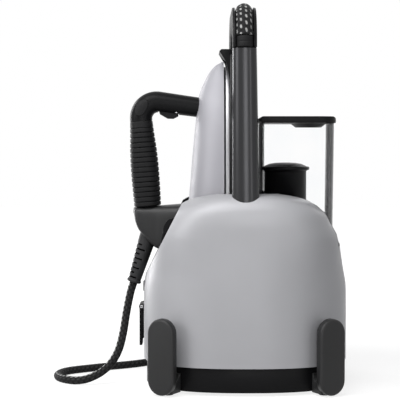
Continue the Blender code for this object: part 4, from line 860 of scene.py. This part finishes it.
def make_plug(name, path, middle):
    """A rubber end plug with rounded rims and a shallow waist ring."""
    rings = []
    for i, point in enumerate(path):
        share = i / (len(path) - 1)
        rim = min(share, 1 - share) * PLUG_HIGH
        radius = ROPE_RADIUS - max(0.0, 0.9 - rim) * 0.9
        if abs(share - 0.5) < 0.07:
            radius -= 0.35
        ahead = (path[min(i + 1, len(path) - 1)] - path[max(i - 1, 0)]).normalized()
        out = Vector((-ahead.y, ahead.x))
        rings.append([(middle + a, point.x + out.x * b, point.y + out.y * b)
                      for a, b in oval(0, 0, radius, radius, 2, 48)])
    plug = drawn(name + "_cap", rings)
    finished(plug, LOOKS["black_rubber"], "base", [name])


def tube_mesh(name, centres, radius, count, swell, start_side=None):
    """A closed tube of rings square to its line, with a UV once around and in metres along.
    swell(u, v) gives how far the surface stands in or out, in millimetres."""
    points = [Vector(p) for p in centres]
    ahead = (points[1] - points[0]).normalized()
    side = Vector(start_side or ahead.orthogonal())
    side = (side - ahead * side.dot(ahead)).normalized()
    vertices, faces, walked, run = [], [], 0.0, []
    for i, point in enumerate(points):
        new = (points[min(i + 1, len(points) - 1)] - points[max(i - 1, 0)]).normalized()
        side = (ahead.rotation_difference(new) @ side).normalized()
        ahead = new
        other = ahead.cross(side)
        if i:
            walked += (point - points[i - 1]).length
        run.append(walked * MM)
        for k in range(count):
            angle = 2 * math.pi * k / count
            reach = radius + swell(k / count, walked)
            vertices.append((point + side * reach * math.cos(angle) + other * reach * math.sin(angle)) * MM)
    for i in range(len(points) - 1):
        for k in range(count):
            j = (k + 1) % count
            faces.append((i * count + k, i * count + j, (i + 1) * count + j, (i + 1) * count + k))
    faces.append(tuple(reversed(range(count))))
    faces.append(tuple(range(len(vertices) - count, len(vertices))))
    mesh = bpy.data.meshes.new(name)
    mesh.from_pydata(vertices, [], faces)
    layer = mesh.uv_layers.new(name="along")
    for polygon in mesh.polygons:
        for loop in polygon.loop_indices:
            index = mesh.loops[loop].vertex_index
            ring, k = divmod(index, count)
            u = k / count
            if k == 0 and len(polygon.vertices) == 4 and count - 1 in [v % count for v in polygon.vertices]:
                u = 1.0
            layer.data[loop].uv = (u, run[ring])
    piece = bpy.data.objects.new(name, mesh)
    bpy.context.collection.objects.link(piece)
    return piece


def braid(around, pitch, depth):
    """Height of a braid's crossing yarns at a place on the tube."""
    def swell(u, v):
        one = abs(math.sin(math.pi * (around * u + v / pitch)))
        two = abs(math.sin(math.pi * (around * u - v / pitch)))
        return depth * (max(one, two) - 1)
    return swell


def make_rope(path, middle):
    """The thick braided rope, let into the bow."""
    centres = [(middle, p.x, p.y) for p in path]
    rope = tube_mesh("braided_rope", centres, ROPE_RADIUS, 60, braid(*ROPE_BRAID, 0.9), (0.16, -1, 0))
    finished(rope, ROPE_LOOK, "base", ["rope_grip"], 60)


def make_rest():
    """The black plate behind the iron with its forward lip."""
    rounded_copy("rest_plate", LOOKS["black_plastic"], "base", 0.7, 3)


# ---------------------------------------------------------------- iron

def sole_half(z, tip=SOLE_TIP):
    """Half the width of the sole at a height: widest near the heel, closing to the tip."""
    wide = 200.0
    if z <= wide:
        return SOLE_HALF - 2.5 * ((wide - z) / (wide - SOLE_LOW)) ** 2
    return SOLE_HALF * (1 - min((z - wide) / (tip - wide), 1.0) ** 2.2) ** 0.75


def sole_outline(inset, low, tip):
    """The outline of the sole as (Y, Z), pushed inward, with round heel corners."""
    corner = 7.0
    start = sole_half(low + corner) - inset
    points = [(start - corner + corner * math.sin(math.radians(a)),
               low + corner - corner * math.cos(math.radians(a))) for a in range(0, 90, 15)]
    steps = 44
    for i in range(steps):
        z = low + corner + (tip - low - corner) * (1 - (1 - i / steps) ** 1.6)
        points.append((max(sole_half(z) - inset, 1.6), z))
    return points + [(0.8, tip), (-0.8, tip)] + [(-y, z) for y, z in reversed(points)]


def make_sole():
    """The polished sole with its steam holes, and the dark shield behind it."""
    face = SOLE_FACE - SOLE_THICK
    sole = slab("sole", sole_outline(0, SOLE_LOW, SOLE_TIP), "X", face, SOLE_FACE)
    bevelled(sole, 0.9, 3, 60)
    bore = [(1.5, face + 2), (1.5, SOLE_FACE - 0.7), (2.3, SOLE_FACE + 0.2)]
    first_hole, hole_pitch, hole_count, from_edge = 228, 13.5, 9, 9
    holes = []
    for side in (-1, 1):
        for i in range(hole_count):
            z = first_hole + i * hole_pitch
            holes.append(turned("steam_hole", bore, "X", (side * (sole_half(z) - from_edge), z), 16))
    carve(sole, holes)
    finished(sole, LOOKS["aluminium"], "iron", ["soleplate"], 30)
    shield = slab("shield", sole_outline(1.4, SOLE_LOW + 2, SOLE_TIP - 2), "X", face - GAP - SHIELD_THICK,
                  face - GAP)
    finished(shield, LOOKS["black_plastic"], "iron", ["heat_shield"])


def cover_rings(count=56):
    """Rings of the iron's cover from its heel to its tip, the first and last drawn in to round the ends."""
    face = SOLE_FACE - SOLE_THICK - SHIELD_THICK - 2 * GAP
    power = 2 / 2.2
    rings = []
    for z, crest in eased(COVER_CREST, 4):
        half = max(sole_half(z, SOLE_TIP + 8) - 1.5, 2.5)
        reach = face - crest
        ring = []
        for k in range(count + 1):
            c, s = math.cos(math.pi * k / count), math.sin(math.pi * k / count)
            ring.append((face - reach * max(s, 0) ** power, half * math.copysign(abs(c) ** power, c), z))
        rings.append(ring)
    ends = []
    for ring, step in ((rings[0], -1.2), (rings[-1], 1.0)):
        middle = ring[0][0] - 4
        ends.append([(x if x > face - 0.01 else x + (middle - x) * 0.05, y * 0.97, z + step)
                     for x, y, z in ring])
    return [ends[0]] + rings + [ends[1]]


def make_cover():
    """The pearl-grey cover of the iron."""
    cover = drawn("cover_skin", cover_rings())
    finished(cover, LOOKS["cover_grey"], "iron", ["iron_cover"], 40)


def cross_rings(path, halves, sides, power, count, square=None):
    """Rings across a path of (X, Z), with a half size in its plane and one along Y at each point."""
    rings = []
    for i, point in enumerate(path):
        ahead = square or path[min(i + 1, len(path) - 1)] - path[max(i - 1, 0)]
        out = Vector((-ahead.y, ahead.x)).normalized()
        rings.append([(point.x + out.x * a, b, point.y + out.y * a)
                      for a, b in oval(0, 0, halves[i], sides[i], power, count)])
    return rings


def grip_axis():
    """The direction of the grip, and the point where the arm ends and the sleeve begins."""
    corner, end = Vector(HANDLE_CORNER), Vector(GRIP_END)
    go = (end - corner).normalized()
    return go, corner + go * ((corner.y - GRIP_TOP) / -go.y)


def arm_rings(grow, count=48):
    """Rings of the post and the corner of the handle."""
    path = bent(POST_START, HANDLE_CORNER, GRIP_END, HANDLE_BEND, 24)
    path[-1] = grip_axis()[1]
    start = [path[0].lerp(path[1], i / 12) for i in range(12)]
    path = start + path[1:]
    steps = len(path) - 1
    halves = [11.75 + grow + 1.6 * min(i / steps * 1.4, 1) for i in range(steps + 1)]
    sides = [13.0 + grow + 1.0 * min(i / steps * 1.4, 1) for i in range(steps + 1)]
    return cross_rings(path, halves, sides, 2.3, count)


def thumb_outline(grow):
    """The tilted oval of the thumb button, as (X, Z)."""
    tilt = math.radians(THUMB_TILT)
    return [(THUMB_AT[0] + a * math.cos(tilt) - b * math.sin(tilt),
             THUMB_AT[1] + a * math.sin(tilt) + b * math.cos(tilt))
            for a, b in oval(0, 0, THUMB_HALF[0] + grow, THUMB_HALF[1] + grow, 2.2, 48)]


def make_arm():
    """The post and corner of the handle, with the trigger's slot and the button's pocket."""
    arm = drawn("arm_skin", arm_rings(0))
    carve(arm, [block("trigger_slot", (-95.5, -70.5), (-6.8, 6.8), (300, 331.5)),
                slab("thumb_pocket", thumb_outline(GAP), "Y", -20, -9)])
    finished(arm, LOOKS["black_plastic"], "iron", ["handle_arm"], 30)
    button = slab("thumb_key", thumb_outline(0), "Y", -18, -11.2)
    carve(button, [drawn("thumb_mask", arm_rings(0.7))], "INTERSECT")
    bevelled(button, 0.5, 3, 50)
    finished(button, LOOKS["black_rubber"], "thumb_button", ["thumb_button"], 40)
    rounded_copy("steam_trigger", LOOKS["black_rubber"], "steam_trigger", 0.8, 3)
    rounded_copy("trigger_pin", LOOKS["steel"], "iron", 0.15)


def make_sleeve():
    """The ribbed grip: a smooth collar, then soft rings a finger's ridge apart."""
    go, top = grip_axis()
    length = (Vector(GRIP_END) - top).length - GAP
    collar, pitch, groove = 8.0, 5.9, 1.3
    sizes = (13.4, 14.6, 16.0, 16.7, 16.8, 16.5, 16)
    path, halves, sides = [], [], []
    steps = 260
    for i in range(steps + 1):
        at = GAP + (length - GAP) * i / steps
        share = (at - GAP) / (length - GAP) * (len(sizes) - 1)
        k = min(int(share), len(sizes) - 2)
        half = sizes[k] + (sizes[k + 1] - sizes[k]) * (share - k)
        cut = 0.0
        if at > collar:
            turn = ((at - collar) % pitch) / pitch
            cut = groove * math.exp(-((min(turn, 1 - turn)) / 0.085) ** 2)
        rim = min(at, length - at)
        cut += max(0.0, 1.0 - rim) * 0.9
        path.append(top + go * at)
        halves.append(half - cut)
        sides.append(15.0 + min(half - sizes[0], 1.5) - cut)
    sleeve = drawn("ribbed_sleeve", cross_rings(path, halves, sides, 2.3, 56, go))
    finished(sleeve, LOOKS["black_rubber"], "iron", ["grip_sleeve"], 60)


def heel_top(x):
    """Height of the heel block's top, square to the grip."""
    go, _ = grip_axis()
    return GRIP_END[1] - GAP + (x - GRIP_END[0]) * -go.x / go.y


def make_heel():
    """The block that joins the grip to the cover and that the iron stands on."""
    stations = ((-124.2, 202.5, 9), (-122, 192, 14), (-118, 183, 16), (-108, 171, 17), (-99, 162.5, 18),
                (-92, HEEL_LOW, 20), (-75, HEEL_LOW, 24), (-46, HEEL_LOW, 28))
    rings = []
    rows = eased(stations, 5)
    for x, low, half in rows:
        low, high = max(low, HEEL_LOW), heel_top(x)
        middle, tall = (low + high) / 2, (high - low) / 2
        rings.append([(x, y, z) for y, z in oval(0, middle, half, tall, 4.2, 56)])
    x, low, half = rows[0]
    middle, tall = (low + heel_top(x)) / 2, (heel_top(x) - low) / 2
    nose = [[(x - out, y, z) for y, z in oval(0, middle, half * share, tall * share, 3, 56)]
            for out, share in ((0.9, 0.62), (0.5, 0.86))]
    heel = drawn("heel_body", nose + rings)
    finished(heel, LOOKS["satin_foot"], "iron", ["heel_block"], 50)


def make_boot():
    """The strain relief: it leaves the heel, has short and long slots in its outer side and a bead at
    its end."""
    start, end = Vector(BOOT_START), Vector(BOOT_END)
    axis = (end - start).normalized()
    out = Vector((axis.y, -axis.x))
    length = (end - start).length
    hidden, bead, steps, count = 9.0, 3.4, 190, 64
    rings = []
    for i in range(steps + 1):
        at = -hidden + (length + hidden) * i / steps
        middle = start + axis * at
        ring = []
        for k in range(count):
            angle = 2 * math.pi * k / count
            radius = 10.2 - 2.8 * max(at, 0) / length
            if at > length - bead:
                radius += 1.1 * math.sin(math.pi * (at - length + bead) / bead) ** 0.5
            radius -= slot_depth(at, angle)
            ring.append((middle.x + out.x * radius * math.cos(angle), radius * math.sin(angle),
                         middle.y + out.y * radius * math.cos(angle)))
        rings.append(ring)
    boot = drawn("hose_boot_sleeve", rings)
    finished(boot, LOOKS["boot_rubber"], "iron", ["hose_boot"], 50)
    # the slot faces take the near-black matte colour: painted shade for the shade inside the slots
    boot.data.materials.append(LOOKS["slot_painted_shade"])
    for face in boot.data.polygons:
        spoke = Vector((face.center.x, face.center.z)) / MM - start
        at = spoke.dot(axis)
        angle = math.atan2(face.center.y / MM, spoke.dot(out))
        if 0 < at < length and slot_depth(at, angle):
            face.material_index = 1
    return boot


def slot_depth(at, angle):
    """How deep the boot's slot is at a length along it and an angle from its outer side."""
    first, pitch, slots = 7.4, 5.75, 8
    number = round((at - first) / pitch)
    if number < 0 or number >= slots or abs(at - first - number * pitch) > 0.85:
        return 0.0
    reach = math.radians(104 if number % 2 else 68)
    turn = abs((angle + math.pi) % (2 * math.pi) - math.pi)
    return 0.8 if turn < reach else 0.0


# ---------------------------------------------------------------- water tank

def tank_rings(inset, levels):
    """Rings of the tank, slightly narrower below."""
    rings = []
    for z, more in levels:
        low = TANK_TAPER * (TANK_TOP - z) / (TANK_TOP - TANK_LOW)
        grow = inset + more
        rings.append([(x, y, z) for x, y in rounded(TANK_LEFT + grow, TANK_RIGHT - low - grow,
                                                    -TANK_HALF_Y + grow, TANK_HALF_Y - grow,
                                                    TANK_CORNER - grow, 10)])
    return rings


def make_tank():
    """The clear tank with its wall and floor, rounded below, and its two hinge ears."""
    outer = [(TANK_LOW, 2.0), (TANK_LOW + 0.6, 0.6), (TANK_LOW + 2, 0), (TANK_TOP - 0.6, 0), (TANK_TOP, 0.4)]
    tank = drawn("tank_wall", tank_rings(0, outer))
    inner = [(TANK_LOW + TANK_WALL, 2.0), (TANK_LOW + TANK_WALL + 0.8, 0.4), (TANK_LOW + TANK_WALL + 2, 0),
             (TANK_TOP + 4, 0)]
    low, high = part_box("tank_valve")
    valve_x = (low[0] + high[0]) / 2 / MM
    carve(tank, [drawn("tank_space", tank_rings(TANK_WALL, inner)),
                 turned("valve_hole", [(8.3, TANK_LOW - 3), (8.3, TANK_LOW + 6)], "Z", (valve_x, 0))])
    lid_half, ear_radius, ear_foot = 3.9, 3.3, 296
    x, z = TANK_LEFT + lid_half, TANK_TOP + GAP + lid_half
    ears = []
    for side in (-1, 1):
        ear = [(TANK_LEFT + 1, ear_foot), (TANK_LEFT + 5, ear_foot), (x + ear_radius, z - 4)]
        ear += [(x + ear_radius * math.cos(math.radians(a)), z + ear_radius * math.sin(math.radians(a)))
                for a in range(0, 181, 15)]
        ears.append(slab("ear", ear + [(TANK_LEFT + 1, z - 4)], "Y", *sorted((side * 11, side * 15))))
    carve(tank, ears, "UNION")
    carve(tank, [turned("pin_hole", [(1.8, -20), (1.8, 20)], "Y", (x, z), 24)])
    finished(tank, LOOKS["clear_plastic"], "tank", ["tank"], 30)
    rounded_copy("tank_lid", LOOKS["black_plastic"], "tank_lid", 0.5)
    rounded_copy("lid_pin", LOOKS["steel"], "tank", 0.15)
    rounded_copy("tank_valve", LOOKS["black_rubber"], "tank", 0.2)


def make_cartridge():
    """The filter cartridge: a plain drum with a thin brim and a slightly crowned top."""
    low = TANK_LOW + TANK_WALL + GAP
    r, f = CARTRIDGE_RADIUS, FLANGE_RADIUS
    profile = [(r - 3, low), (r - 0.8, low + 0.4), (r, low + 2), (r, low + 30), (r - 0.3, low + 30.4),
               (r - 0.3, low + 31.4), (r, low + 31.8), (r, FLANGE_Z - 1.6), (r + 0.8, FLANGE_Z - 0.6),
               (f - 0.8, FLANGE_Z + 0.2), (f, FLANGE_Z + 1), (f, FLANGE_Z + 3.2), (f - 0.8, FLANGE_Z + 4),
               (r + 0.4, FLANGE_Z + 4.4), (r - 1, FLANGE_Z + 5.2), (r - 6, FLANGE_Z + 7.4),
               (r - 13, FLANGE_Z + 8.6), (3, FLANGE_Z + 9)]
    drum = turned("cartridge_drum", profile, "Z", (CARTRIDGE_X, 0), 72)
    finished(drum, LOOKS["black_plastic"], "tank", ["filter_cartridge"], 40)


# ---------------------------------------------------------------- side flap, drain, button, works

PLAIN_PIECES = (
    # (node, look, body, edge rounding)
    ("drain_flap", "black_plastic", "drain_flap", 0.5),
    ("flap_pin", "steel", "base", 0.15),
    ("drain_neck", "brass", "base", 0.2),
    ("drain_plug", "black_plastic", "drain_plug", 0.3),
    ("power_button", "black_plastic", "power_button", 0.35),
    ("power_switch", "black_plastic", "base", 0.5),
    ("boiler", "steel", "base", 1.0),
    ("thermostat", "black_plastic", "base", 0.5),
    ("safety_valve", "brass", "base", 0.3),
    ("pump", "black_plastic", "base", 0.8),
    ("pump_mount", "black_rubber", "base", 1.0),
    ("steam_valve", "black_plastic", "base", 0.6),
    ("control_board", "board", "base", 0.15),
    ("tank_seat", "silicone", "base", 0.3),
    ("mains_gland", "black_rubber", "base", 0.3),
    ("iron_casting", "aluminium", "iron", 0.8),
    ("water_tube", "silicone", "base", 0),
    ("feed_tube", "silicone", "base", 0),
    ("steam_tube", "silicone", "base", 0),
    ("outlet_tube", "silicone", "base", 0),
)


def make_plain_pieces():
    """The small and the inner pieces: their own shapes with rounded edges and real finishes."""
    for node, look, body, width in PLAIN_PIECES:
        rounded_copy(node, LOOKS[look], body, width)


# ---------------------------------------------------------------- steam hose

HOSE_ROUTE = ((-125.2, 0, 119.6), (-128.8, 0, 108), (-133.6, -3, 84), (-137, -7.5, 62), (-141, -13, 44.5),
              (-146, -17, 32.8), (-152.9, -20.5, 23.2), (-161.8, -23.6, 15.8), (-171.8, -26, 10.4),
              (-182, -26, 6.8), (-194, -22.5, 5.0), (-206.1, -14.1, 4.8), (-214.6, -2, 4.8),
              (-218.4, 12.3, 4.8), (-217.1, 27, 4.8), (-210.9, 40.4, 4.8), (-200.4, 50.9, 4.8),
              (-188, 59.4, 4.8), (-172, 69.6, 4.8), (-155, 78.6, 4.8), (-138, 88, 4.8), (-121, 99.5, 4.9),
              (-106, 111.5, 5.2), (-88, 118.5, 5.8), (-66, 121.25, 6.2),
              (-44, 121.25, 6.25), (-23.4, 121.25, 6.25))
# (angle, radius, height) along the coil, from where the run enters it to where the tail leaves it
COIL_STATIONS = ((-90, COIL_OUTER, COIL_LOW), (195, COIL_OUTER, COIL_LOW), (285, COIL_INNER, COIL_LOW),
                 (540, COIL_INNER, COIL_LOW), (630, COIL_INNER, COIL_HIGH), (900, COIL_INNER, COIL_HIGH),
                 (990, COIL_OUTER, COIL_HIGH), (1260, COIL_OUTER, COIL_HIGH))


def coil_points():
    """Points of the coil every few degrees; radius and height change smoothly between stations."""
    points = []
    for (a, ra, za), (b, rb, zb) in zip(COIL_STATIONS, COIL_STATIONS[1:]):
        steps = max(4, round((b - a) / 3))
        for i in range(steps):
            t = i / steps
            ease = t * t * (3 - 2 * t)
            angle = math.radians(a + (b - a) * t)
            radius = ra + (rb - ra) * ease
            x = COIL_AT[0] + radius * math.cos(angle)
            y = COIL_AT[1] + radius * math.sin(angle)
            points.append(Vector((x, y, za + (zb - za) * ease)))
    return points


def hose_centres():
    """The whole hose: the run over the floor, the coil, and the tail up into its gland."""
    run = eased(HOSE_ROUTE, 12)
    joined = [Vector((x, COIL_AT[1] - COIL_OUTER, COIL_LOW)) for x in (-13, -3)]
    coil = coil_points()
    x, mouth = GLAND_AT[0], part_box("hose_gland")[1][1] / MM
    leave = [Vector((x, COIL_AT[1], COIL_HIGH)), Vector((x, 162, COIL_HIGH)), Vector((x, 146, COIL_HIGH)),
             Vector((x, 131, 16.2)), Vector((x, 114, 17.7)), Vector((x, mouth + GAP, GLAND_AT[1]))]
    tail = eased(leave, 10)
    return even(run + joined + coil + tail, 1.1)


def make_hose():
    """The textile-braided steam hose in one piece, with its tie and gland."""
    centres = hose_centres()
    hose = tube_mesh("steam_hose", centres, HOSE_RADIUS, 22, braid(*HOSE_BRAID, 0.3), (-1, -0.6, 0))
    finished(hose, LOOKS["textile"], "base", ["hose_run", "hose_coil", "hose_tail"], 60)
    tie = rounded_copy("coil_tie", LOOKS["black_rubber"], "base", 0.3)
    gland = rounded_copy("hose_gland", LOOKS["black_rubber"], "base", 0.3)


# ---------------------------------------------------------------- assembly

make_camera()
make_floor()
make_world()
make_lights()
boot_piece = make_boot()
make_hose()
make_shells()
make_feet()
make_pan()
make_bays()
make_columns()
make_bow()
make_rest()
make_sole()
make_cover()
make_arm()
make_sleeve()
make_heel()
make_tank()
make_cartridge()
make_plain_pieces()

bpy.context.scene.view_settings.view_transform = "Standard"
